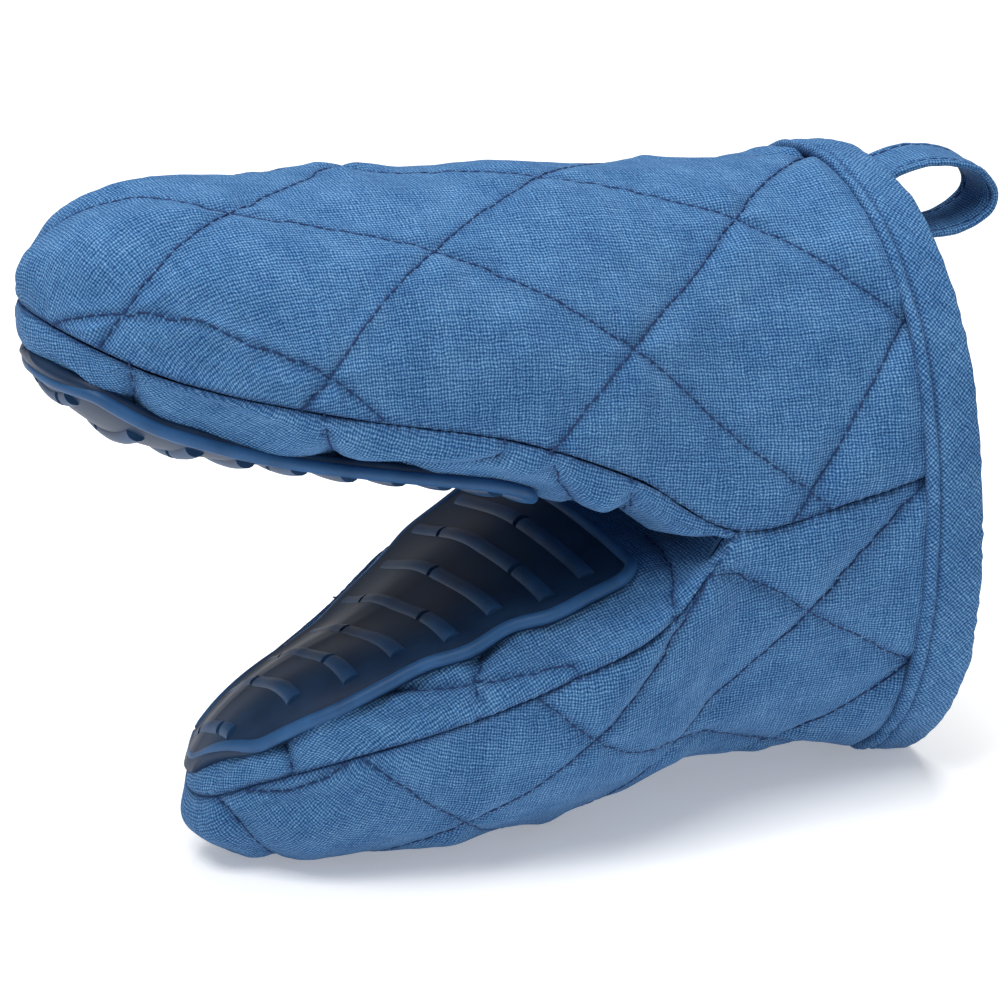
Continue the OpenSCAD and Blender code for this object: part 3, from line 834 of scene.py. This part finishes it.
def liningSkin(name, c, paths, outward):
    wide = widened(c)
    edge = flangeMask(c)
    points = lay(wide, np.full(edge.shape, lining["depth"]))
    toSewn, _ = nearestSewn(points, paths)
    past = toSewn - lining["sewnHalf"]
    depth = lining["depth"] + lining["rise"] * (1 - np.exp(-(past / lining["riseRun"]) ** 2)) * (past > 0)
    points = lay(wide, cornersApart(np.where(edge, lining["turnIn"], depth), c["bothEnds"]))
    if not c["bothEnds"]:
        points[..., 2] += np.where(edge, outward * lining["overlap"], 0)
    flat = flattened(points, 200)
    faces = gridFaces(*points.shape[:2], flip=outward > 0)
    return meshPiece(name, points.reshape(-1, 3), faces, sheeting, flat.reshape(-1, 2))


backLining = liningSkin("backLining", backChart, backPaths, -1)
undersideLining = liningSkin("undersideLining", underChart, underPaths, 1)
palmLining = liningSkin("palmLining", palmChart, palmPaths, -1)
print("linings made")


# silicone grips: a thin pad with a rounded rim and rows of cross bars

def gripEdge(part, x):
    # share of the half width where the pad ends
    tip = part["end"] - gripShape["shortOfTip"]
    atStart = roundOff(2 * part["start"] - x, part["start"] + 0.2, 6.0)
    return along(part["share"], x) * roundOff(x, tip + 0.05, gripShape["cornerRound"]) * (0.8 + 0.2 * atStart)


def startTree(name, sizes, wholes=()):
    # a node tree over a wire mesh, with its sizes as inputs
    tree = bpy.data.node_groups.new(name, "GeometryNodeTree")
    given = [("Geometry", "Geometry")] + [(label, "Float") for label in sizes]
    given += [(label, "Int") for label in wholes] + [("Material", "Material")]
    for label, kind in given:
        tree.interface.new_socket(label, in_out="INPUT", socket_type="NodeSocket" + kind)
    tree.interface.new_socket("Geometry", in_out="OUTPUT", socket_type="NodeSocketGeometry")
    return tree, addNode(tree, "NodeGroupInput").outputs


def alongWire(tree, given, step):
    # evenly spaced points along the wires, and the direction away from the surface there
    line = addNode(tree, "GeometryNodeMeshToCurve", {0: given["Geometry"]})
    points = addNode(tree, "GeometryNodeResampleCurve", {"Curve": line, "Length": given[step]}, mode="LENGTH")
    up = addNode(tree, "GeometryNodeInputNamedAttribute", {"Name": "up"}, data_type="FLOAT_VECTOR")
    return points, up


def finishTree(tree, given, shape):
    real = addNode(tree, "GeometryNodeRealizeInstances", {0: shape})
    coated = addNode(tree, "GeometryNodeSetMaterial", {"Geometry": real, "Material": given["Material"]})
    smoothed = addNode(tree, "GeometryNodeSetShadeSmooth", {"Geometry": coated})
    addNode(tree, "NodeGroupOutput", {0: smoothed})
    return tree


def ribbonTree():
    # sweeps a rounded bar along every edge of a wire mesh, standing on the surface it runs over
    tree, given = startTree("mouldedBars", ("Width", "Height", "Step", "Round ends"))
    points, up = alongWire(tree, given, "Step")
    stood = addNode(tree, "GeometryNodeSetCurveNormal", {"Curve": points, "Normal": up}, mode="FREE")
    spline = addNode(tree, "GeometryNodeSplineParameter")
    length = addNode(tree, "GeometryNodeSplineLength")
    rest = addNode(tree, "ShaderNodeMath", {0: length, 1: spline.outputs["Length"]}, operation="SUBTRACT")
    near = addNode(tree, "ShaderNodeMath", {0: rest, 1: spline.outputs["Length"]}, operation="MINIMUM")
    half = addNode(tree, "ShaderNodeMath", {0: given["Width"], 1: 0.5}, operation="MULTIPLY")
    reach = addNode(tree, "ShaderNodeMath", {0: near, 1: half}, operation="DIVIDE", use_clamp=True)
    back = addNode(tree, "ShaderNodeMath", {0: 1.0, 1: reach}, operation="SUBTRACT")
    square = addNode(tree, "ShaderNodeMath", {0: back, 1: 2.0}, operation="POWER")
    inside = addNode(tree, "ShaderNodeMath", {0: 1.04, 1: square}, operation="SUBTRACT")
    root = addNode(tree, "ShaderNodeMath", {0: inside, 1: 0.5}, operation="POWER")
    lessOne = addNode(tree, "ShaderNodeMath", {0: root, 1: 1.0}, operation="SUBTRACT")
    radius = addNode(tree, "ShaderNodeMath", {0: lessOne, 1: given["Round ends"], 2: 1.0},
                     operation="MULTIPLY_ADD")
    sized = addNode(tree, "GeometryNodeSetCurveRadius", {"Curve": stood, "Radius": radius})
    ring = addNode(tree, "GeometryNodeCurvePrimitiveCircle", {"Resolution": 14, "Radius": 1.0},
                   mode="RADIUS")
    size = addNode(tree, "ShaderNodeCombineXYZ", {0: half, 1: given["Height"], 2: 1.0})
    profile = addNode(tree, "GeometryNodeTransform", {"Geometry": ring, "Scale": size})
    swept = addNode(tree, "GeometryNodeCurveToMesh", {"Curve": sized, "Profile Curve": profile,
                                                      "Fill Caps": True})
    return finishTree(tree, given, swept)


def sewingTree():
    # lays one small stitch after another along every edge of a wire mesh
    tree, given = startTree("runOfStitches", ("Pitch", "Length", "Width", "Height"), ("Seed",))
    points, up = alongWire(tree, given, "Pitch")
    tangent = addNode(tree, "GeometryNodeInputTangent")
    lie = addNode(tree, "FunctionNodeAlignEulerToVector", {"Vector": tangent}, axis="X")
    stand = addNode(tree, "FunctionNodeAlignEulerToVector", {"Rotation": lie, "Vector": up},
                    axis="Z", pivot_axis="X")
    stitch = addNode(tree, "GeometryNodeMeshUVSphere", {"Segments": 8, "Rings": 5, "Radius": 0.5})
    size = addNode(tree, "ShaderNodeCombineXYZ", {0: given["Length"], 1: given["Width"], 2: given["Height"]})
    uneven = addNode(tree, "FunctionNodeRandomValue", {
        "Min": (0.85, 0.85, 0.85), "Max": (1.1, 1.15, 1.1), "Seed": given["Seed"]}, data_type="FLOAT_VECTOR")
    scaled = addNode(tree, "ShaderNodeVectorMath", {0: size, 1: uneven}, operation="MULTIPLY")
    many = addNode(tree, "GeometryNodeInstanceOnPoints", {
        "Points": points, "Instance": stitch, "Rotation": stand, "Scale": scaled})
    return finishTree(tree, given, many)


barTree, stitchTree = ribbonTree(), sewingTree()


def wirePiece(name, paths, ups, closed=False):
    # a mesh of edges only, with the direction away from the surface kept on every point
    points, edges, first = [], [], 0
    for p in paths:
        n = len(p)
        points += (np.asarray(p) * mm).tolist()
        edges += [(first + i, first + i + 1) for i in range(n - 1)]
        edges += [(first + n - 1, first)] if closed else []
        first += n
    data = bpy.data.meshes.new(name)
    data.from_pydata(points, edges, [])
    layer = data.attributes.new("up", "FLOAT_VECTOR", "POINT")
    layer.data.foreach_set("vector", np.concatenate(ups).astype(np.float32).ravel())
    piece = bpy.data.objects.new(name, data)
    scene.collection.objects.link(piece)
    return piece


def grown(piece, tree, **inputs):
    # runs a node tree over the piece and keeps the result as its mesh
    modifier = piece.modifiers.new("made", "NODES")
    modifier.node_group = tree
    for socket in tree.interface.items_tree:
        if socket.in_out == "INPUT" and socket.name in inputs:
            modifier[socket.identifier] = inputs[socket.name]
    bpy.context.view_layer.update()
    evaluated = piece.evaluated_get(bpy.context.evaluated_depsgraph_get())
    made = bpy.data.meshes.new_from_object(evaluated, preserve_all_data_layers=True,
                                           depsgraph=bpy.context.evaluated_depsgraph_get())
    piece.modifiers.remove(modifier)
    piece.data = made
    return piece


def joined(name, pieces):
    # several pieces as one mesh
    work = bmesh.new()
    for index, piece in enumerate(pieces):
        piece.data.polygons.foreach_set("material_index", [index] * len(piece.data.polygons))
        work.from_mesh(piece.data)
    data = bpy.data.meshes.new(name)
    work.to_mesh(data)
    work.free()
    for piece in pieces:
        data.materials.append(piece.data.materials[0])
    if "up" in data.attributes:
        data.attributes.remove(data.attributes["up"])
    for piece in pieces:
        bpy.data.objects.remove(piece)
    one = bpy.data.objects.new(name, data)
    scene.collection.objects.link(one)
    return one


def onFace(part, x, k, depth):
    # points on a palm face, and the direction away from it
    def at(dx, dk):
        return part["face"](x + dx, np.clip(k + dk, -0.995, 0.995), depth)
    points = at(0, 0)
    normal = np.cross(at(0.1, 0) - at(-0.1, 0), at(0, 0.004) - at(0, -0.004))
    normal = normal / np.linalg.norm(normal, axis=-1, keepdims=True)
    middle = part["face"](x, 0 * k, 60.0) - points
    return points, normal * np.where((normal * middle).sum(-1, keepdims=True) > 0, -1, 1)


def siliconeGrip(name, part):
    g = gripShape
    tip = part["end"] - g["shortOfTip"]
    easing = np.sin(np.linspace(0, 1, 14) * math.pi / 2)
    rows = np.concatenate([np.arange(part["start"], tip - g["cornerRound"], g["spacing"]),
                           tip - g["cornerRound"] * (1 - easing)])
    across = np.sin(np.linspace(-1, 1, 101) * math.pi / 2 * 0.93) / math.sin(math.pi / 2 * 0.93)
    x, p = np.meshgrid(rows, across, indexing="ij")
    k = p * gripEdge(part, x)
    fromEdge = (gripEdge(part, x) - np.abs(k)) * part["side"](x, 0)
    fromEdge = np.minimum(fromEdge, np.minimum(x - part["start"], tip - x))
    rise = g["thickness"] * np.sqrt(np.maximum(0, 1 - (1 - np.clip(fromEdge / g["edgeRound"], 0, 1)) ** 2))
    ground, normal = onFace(part, x, k, 0.0)
    upper = ground + normal * rise[..., None]
    lower = ground - normal * g["sunk"]
    n, m = upper.shape[:2]
    count = n * m
    faces = gridFaces(n, m) + (np.array(gridFaces(n, m, flip=True)) + count).tolist()
    rim = [i * m for i in range(n)] + [(n - 1) * m + j for j in range(1, m)]
    rim += [i * m + m - 1 for i in range(n - 2, -1, -1)] + list(range(m - 2, 0, -1))
    faces += [(a, b, b + count, a + count) for a, b in zip(rim, rim[1:] + rim[:1])]
    pad = cleaned(meshPiece(name + "Pad", np.concatenate([upper.reshape(-1, 3), lower.reshape(-1, 3)]), faces,
                            silicone), turnFaces=True)
    # the rim follows the edge, a little inside it
    turn = np.linspace(0, math.pi / 2, 40)
    edgeX = np.concatenate([[part["start"] + 1.2], np.arange(part["start"] + 2, tip - 9, 1.5),
                            tip - 8 + (8 - g["rimInset"]) * np.sin(turn)])
    inset = g["rimInset"] / np.maximum(8, part["side"](edgeX, 0))
    edgeK = np.maximum(0.0, gripEdge(part, edgeX) - inset)
    edgeK[-40:] = np.maximum(0.0, along(part["share"], edgeX[-40:]) * np.cos(turn) - inset[-40:])
    edgeK[-1] = 0.0
    loopX = np.concatenate([edgeX, edgeX[-2::-1]])
    loopK = np.concatenate([edgeK, -edgeK[-2::-1]])
    startK = np.linspace(-edgeK[0], edgeK[0], 30)[1:-1]
    loopX = np.concatenate([loopX, np.full(28, edgeX[0])])
    loopK = np.concatenate([loopK, startK])
    rimPoints, rimUps = onFace(part, loopX, loopK, -(g["thickness"] - g["rimSunk"]))
    rimBead = grown(wirePiece(name + "Rim", [rimPoints], [rimUps], closed=True), barTree,
                    Width=g["rimWidth"] * mm, Height=(g["rimRise"] + g["rimSunk"]) * mm,
                    Step=g["rimStep"] * mm, Material=siliconeRimPaintedLighter, **{"Round ends": 0.0})
    bars, ups = [], []
    for row in range(int((tip - part["start"] - 10) / g["barPitch"]) + 1):
        barX = part["end"] - g["firstBar"] - row * g["barPitch"]
        side = float(part["side"](barX, 0))
        edge = float(gripEdge(part, barX)) - g["barShort"][row % 2] / side
        gap = g["barGap"] / 2 / side
        if row % 2 == 0:
            cut = edge * g["rowSplit"]
            spans = [(-edge, -cut - gap), (-cut + gap, cut - gap), (cut + gap, edge)]
        else:
            spans = [(-edge, -gap), (gap, edge)]
        for low, high in spans:
            if (high - low) * side > g["leastBar"]:
                barK = np.linspace(low, high, max(6, int((high - low) * side / 1.2)))
                bar, up = onFace(part, np.full(len(barK), barX), barK, -(g["thickness"] - g["barSunk"]))
                bars.append(bar)
                ups.append(up)
    barMesh = grown(wirePiece(name + "Bars", bars, ups), barTree, Width=g["barWidth"] * mm,
                    Height=(g["barRise"] + g["barSunk"]) * mm, Step=g["barStep"] * mm,
                    Material=siliconeBarsPaintedLighter, **{"Round ends": 1.0})
    return joined(name, [pad, rimBead, barMesh])


fingerGrip = siliconeGrip("fingerGrip", gripShape["finger"])
thumbGrip = siliconeGrip("thumbGrip", gripShape["thumb"])
print("grips:", len(fingerGrip.data.polygons), len(thumbGrip.data.polygons))


# cuff binding: a bias strip folded over the edge, with a welt where it is turned under

def cuffRing(x, depth, count):
    turn = np.linspace(0, 2 * math.pi, count, endpoint=False)
    k = np.cos(turn)
    return np.where((turn <= math.pi)[:, None], backFace(np.full(count, x), k, depth),
                    underFace(np.full(count, x), k, depth) + np.array([0, 0, mitt["seamGap"] / 2]))


def bindingPiece():
    t, w, wall = binding["thickness"], binding["width"], binding["wall"]
    outside = [
        (w - 0.3, 1.9), (w + 0.25, 0.9), (w + 0.2, 0.0), (w - 0.15, -0.6), (w - 0.8, -t), (w - 1.5, -t - 0.05),
        (w - 2.0, -0.5), (w - 2.3, -0.22), (w - 2.7, -0.42), (w - 3.6, -t), (w - 5.2, -t - 0.15),
        (w - 7, -t - 0.2), (w - 9, -t - 0.2), (0.4, -t - 0.15), (-0.6, -t + 0.1), (-1.3, -0.5), (-1.75, 0.8),
        (-1.9, 2.5), (-1.8, 4.4), (-1.4, 6.0), (-0.7, 7.0), (0.6, 7.6), (2.5, wall + 0.9), (5, wall + 0.8),
        (7, wall + 0.7), (8.2, wall + 0.3), (8.8, wall + 0.6), (9.8, wall + 0.7), (10.6, wall + 0.4),
        (10.9, wall - 0.4)]
    profile = drawn(outside, 0.55)
    run = lengthAlong(profile)
    count = binding["around"]
    rings = np.stack([cuffRing(x, depth, count) for x, depth in profile], 1)
    middle = np.linalg.norm(np.roll(rings[:, 20], -1, 0) - rings[:, 20], axis=1)
    around = np.concatenate([[0], np.cumsum(middle)])
    rings = np.concatenate([rings, rings[:1]])
    normal = gridNormals(rings)
    normal[0] = normal[-1] = normal[0] + normal[-1]
    normal = normal / np.linalg.norm(normal, axis=-1, keepdims=True)
    free = smooth((run - 1.2) / 2)[None, :]
    circle = around / around[-1] * 2 * math.pi
    hoop = np.stack([np.cos(circle) * 60, np.sin(circle) * 60], -1)[:, None, :] + 0 * rings[..., :2]
    field = np.concatenate([hoop, (run * 1.5)[None, :, None] + 0 * rings[..., :1]], -1)
    shape = 0.22 * ripple(field, 24, 51) + 0.12 * ripple(field, 9, 52)
    drag = 0.14 * np.sin((around[:, None] - 0.7 * run[None, :]) * 2 * math.pi / 4.6) * ripple(field, 30, 53)
    rings = rings - normal * ((shape + drag) * free)[..., None]
    rings[:, :, 0] += 0.5 * ripple(field, 60, 54) * np.exp(-((run - 17) / 8) ** 2)[None, :]
    rings[-1] = rings[0]
    flat = np.stack([run[None, :] + 0 * around[:, None], around[:, None] + 0 * run[None, :]], -1)
    piece = meshPiece("cuffBinding", rings.reshape(-1, 3), gridFaces(*rings.shape[:2]), biasCanvas,
                      flat.reshape(-1, 2))
    # painted shade: darker in the groove where the binding turns under and along its topstitch valley
    shade = np.exp(-(run / 1.6) ** 2) + 0.6 * np.exp(-((run - binding["stitchRun"]) / 0.5) ** 2)
    paintGrooveShade(piece, np.minimum(1, shade[None, :] + 0 * around[:, None]))
    return piece


cuffBinding = bindingPiece()
print("binding:", len(cuffBinding.data.polygons))


# hanging loop: a folded tape, both ends sewn inside the cuff

tape = {"width": 14.0, "thickness": 1.7, "edgeStitch": 1.9, "columns": 41,
        "line": [(73.0, 121.0), (80.0, 124.0), (88.0, 126.6), (96.5, 126.4), (103.6, 124.0), (107.6, 119.6),
                 (107.2, 115.6), (103.0, 112.8), (96.0, 111.6), (89.0, 111.6), (82.0, 112.6), (73.0, 115.0)]}


def loopPiece():
    line = drawn(tape["line"], 1.0)
    middleLine = np.stack([line[:, 0], 0 * line[:, 0], line[:, 1]], -1)
    tangent = np.gradient(middleLine, axis=0)
    tangent /= np.linalg.norm(tangent, axis=1, keepdims=True)
    share = np.linspace(0, 1, len(line))
    across = np.array([0, 1, 0]) + np.outer(0.06 * np.sin(share * 5), [1, 0, 0.3])
    across /= np.linalg.norm(across, axis=1, keepdims=True)
    up = np.cross(tangent, across)
    half, t = tape["width"] / 2, tape["thickness"] / 2
    v = np.linspace(-1, 1, tape["columns"])
    edge = np.sqrt(np.maximum(0, 1 - np.clip((np.abs(v) * half - half + t) / t, 0, 1) ** 2))
    groove = 0.28 * np.exp(-((np.abs(v) * half - half + tape["edgeStitch"]) / 0.45) ** 2)
    height = t * edge + 0.12 * np.cos(v * 3) - groove
    under = np.stack([v[::-1] * half, -height[::-1]], 1)
    profile = np.concatenate([np.stack([v * half, height], 1), under[1:-1]])
    tube = middleLine[:, None] + across[:, None] * profile[None, :, :1] + up[:, None] * profile[None, :, 1:]
    tube = tube + up[:, None] * (0.18 * ripple(tube, 12, 71) + 0.1 * ripple(tube, 5, 72))[..., None]
    tube = np.concatenate([tube, tube[:, :1]], 1)
    aroundTape = lengthAlong(np.concatenate([profile, profile[:1]]))
    flat = np.stack(np.meshgrid(lengthAlong(middleLine), aroundTape, indexing="ij"), -1)
    n, m = tube.shape[:2]
    faces = gridFaces(n, m)
    faces += [tuple(range(m - 1)), tuple((n - 1) * m + j for j in range(m - 2, -1, -1))]
    piece = meshPiece("hangingLoop", tube.reshape(-1, 3), faces, canvas, flat.reshape(-1, 2))
    cleaned(piece)
    runs, ups = [], []
    for face, sign in ((0, 1), (1, -1)):
        for side in (-1, 1):
            at = side * (half - tape["edgeStitch"])
            j = int(np.argmin(np.abs(v * half - at)))
            column = j if face == 0 else 2 * tape["columns"] - 2 - j
            runs.append(tube[2:-2, column] + sign * up[2:-2] * 0.05)
            ups.append(sign * up[2:-2])
    return piece, runs, ups


hangingLoop, tapeRuns, tapeUps = loopPiece()


# stitches

stitching = {"pitch": 2.6, "length": 2.5, "width": 0.5, "height": 0.42, "seed": 5}
tapeStitching = {"pitch": 2.6, "length": 2.3, "width": 0.5, "height": 0.4, "seed": 6}


def stitched(name, runs, ups, sizes):
    return grown(wirePiece(name, runs, ups), stitchTree, Pitch=sizes["pitch"] * mm,
                 Length=sizes["length"] * mm, Width=sizes["width"] * mm, Height=sizes["height"] * mm,
                 Seed=sizes["seed"], Material=thread)


def stitchesOn(name, panel, paths):
    # lays each sewn line on the finished cloth and fills it with stitches
    corners = [v.co.copy() for v in panel.data.vertices]
    ground = BVHTree.FromPolygons(corners, [tuple(p.vertices) for p in panel.data.polygons])
    runs, ups = [], []
    for path in paths:
        found = [ground.find_nearest(Vector(p * mm)) for p in path[::2]]
        at = np.array([f[0] for f in found]) / mm
        away = np.array([f[1] for f in found])
        near = np.array([f[3] for f in found]) < 3.5 * mm
        if near.sum() > 5:
            runs.append((at + away * 0.02)[near])
            ups.append(away[near])
    return stitched(name, runs, ups, stitching)


backStitches = stitchesOn("backStitches", backPanel, backPaths)
undersideStitches = stitchesOn("undersideStitches", undersidePanel, underPaths)
palmStitches = stitchesOn("palmStitches", palmPanel, palmPaths)
loopStitches = stitched("loopStitches", tapeRuns, tapeUps, tapeStitching)
print("stitches made")


# what moves with what

for piece in (backPanel, backLining, backStitches, fingerGrip, cuffBinding):
    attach(piece, "mitt")
for piece in (hangingLoop, loopStitches):
    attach(piece, "loop")
for piece in (undersidePanel, undersideLining, undersideStitches):
    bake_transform(piece)
for piece in (palmPanel, palmLining, palmStitches, thumbGrip):
    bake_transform(piece)

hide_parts("back_cover", "back_wadding")
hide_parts("back_lining")
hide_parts("heel_cover", "heel_wadding", "under_fold_cover", "under_fold_wadding",
            "thumb_cover", "thumb_wadding")
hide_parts("heel_lining", "under_fold_lining", "thumb_lining")
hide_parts("finger_palm_cover", "finger_palm_wadding", "palm_fold_cover",
            "thumb_palm_cover", "thumb_palm_wadding")
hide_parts("finger_palm_lining", "palm_fold_lining", "thumb_palm_lining")
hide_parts("finger_grip")
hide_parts("thumb_grip")
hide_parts("cuff_binding")
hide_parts("hanging_loop")


# floor, light and camera

view = {"azimuth": 26.67, "elevation": 20.83, "roll": 0.62, "distance": 0.8,
        "target": (-0.0029, 0.0, 0.0661), "lens": 143.1}
lights = {
    "keyLight": {"at": (-0.6, -0.35, 1.4), "towards": (0, 0, 0.07), "size": 0.7, "power": 16.5},
    "fillLight": {"at": (0.9, -0.9, 0.5), "towards": (0, 0, 0.07), "size": 0.9, "power": 1},
    "topLight": {"at": (0.1, 0.2, 1.5), "towards": (0, 0, 0.05), "size": 0.9, "power": 15},
}
paper = {"colour": "#f4f4f4", "roughness": 0.9, "skylight": 0.25, "reach": 3000, "drop": 0.3,
         "glow": 0.3}                     # stands for the light that a white sweep gives back


def addCamera():
    az, el, roll = (math.radians(view[key]) for key in ("azimuth", "elevation", "roll"))
    ahead = Vector((math.sin(az) * math.cos(el), math.cos(az) * math.cos(el), -math.sin(el)))
    right = Vector((math.cos(az), -math.sin(az), 0))
    up = right.cross(ahead)
    right, up = right * math.cos(roll) + up * math.sin(roll), up * math.cos(roll) - right * math.sin(roll)
    camera = bpy.data.objects.new("camera", bpy.data.cameras.new("camera"))
    camera.matrix_world = Matrix((
        (right.x, up.x, -ahead.x, view["target"][0] - ahead.x * view["distance"]),
        (right.y, up.y, -ahead.y, view["target"][1] - ahead.y * view["distance"]),
        (right.z, up.z, -ahead.z, view["target"][2] - ahead.z * view["distance"]),
        (0, 0, 0, 1)))
    camera.data.lens = view["lens"]
    camera.data.clip_start = 0.01
    scene.collection.objects.link(camera)
    scene.camera = camera


def addArea(name, light):
    data = bpy.data.lights.new(name, "AREA")
    data.energy, data.size = light["power"], light["size"]
    lamp = bpy.data.objects.new(name, data)
    lamp.location = light["at"]
    lamp.rotation_euler = (Vector(light["towards"]) - Vector(light["at"])).to_track_quat("-Z", "Y").to_euler()
    scene.collection.objects.link(lamp)


addCamera()
scene.view_settings.view_transform = "Standard"
for name, light in lights.items():
    addArea(name, light)
world = bpy.data.worlds.new("studio")
world.use_nodes = True
sky = world.node_tree.nodes["Background"].inputs
sky["Color"].default_value = hexLinear("#ffffff")
sky["Strength"].default_value = paper["skylight"]
scene.world = world

floorMaterial = bpy.data.materials.new("mattPaper")   # plain matt white paper sweep
floorMaterial.use_nodes = True
inputs = floorMaterial.node_tree.nodes["Principled BSDF"].inputs
inputs["Base Color"].default_value = hexLinear(paper["colour"])
inputs["Roughness"].default_value = paper["roughness"]
inputs["Emission Color"].default_value = hexLinear("#ffffff")
inputs["Emission Strength"].default_value = paper["glow"]
r, z = paper["reach"], -paper["drop"]
floor = meshPiece("floor", [(-r, -r, z), (r, -r, z), (r, r, z), (-r, r, z)], [(0, 1, 2, 3)], floorMaterial)
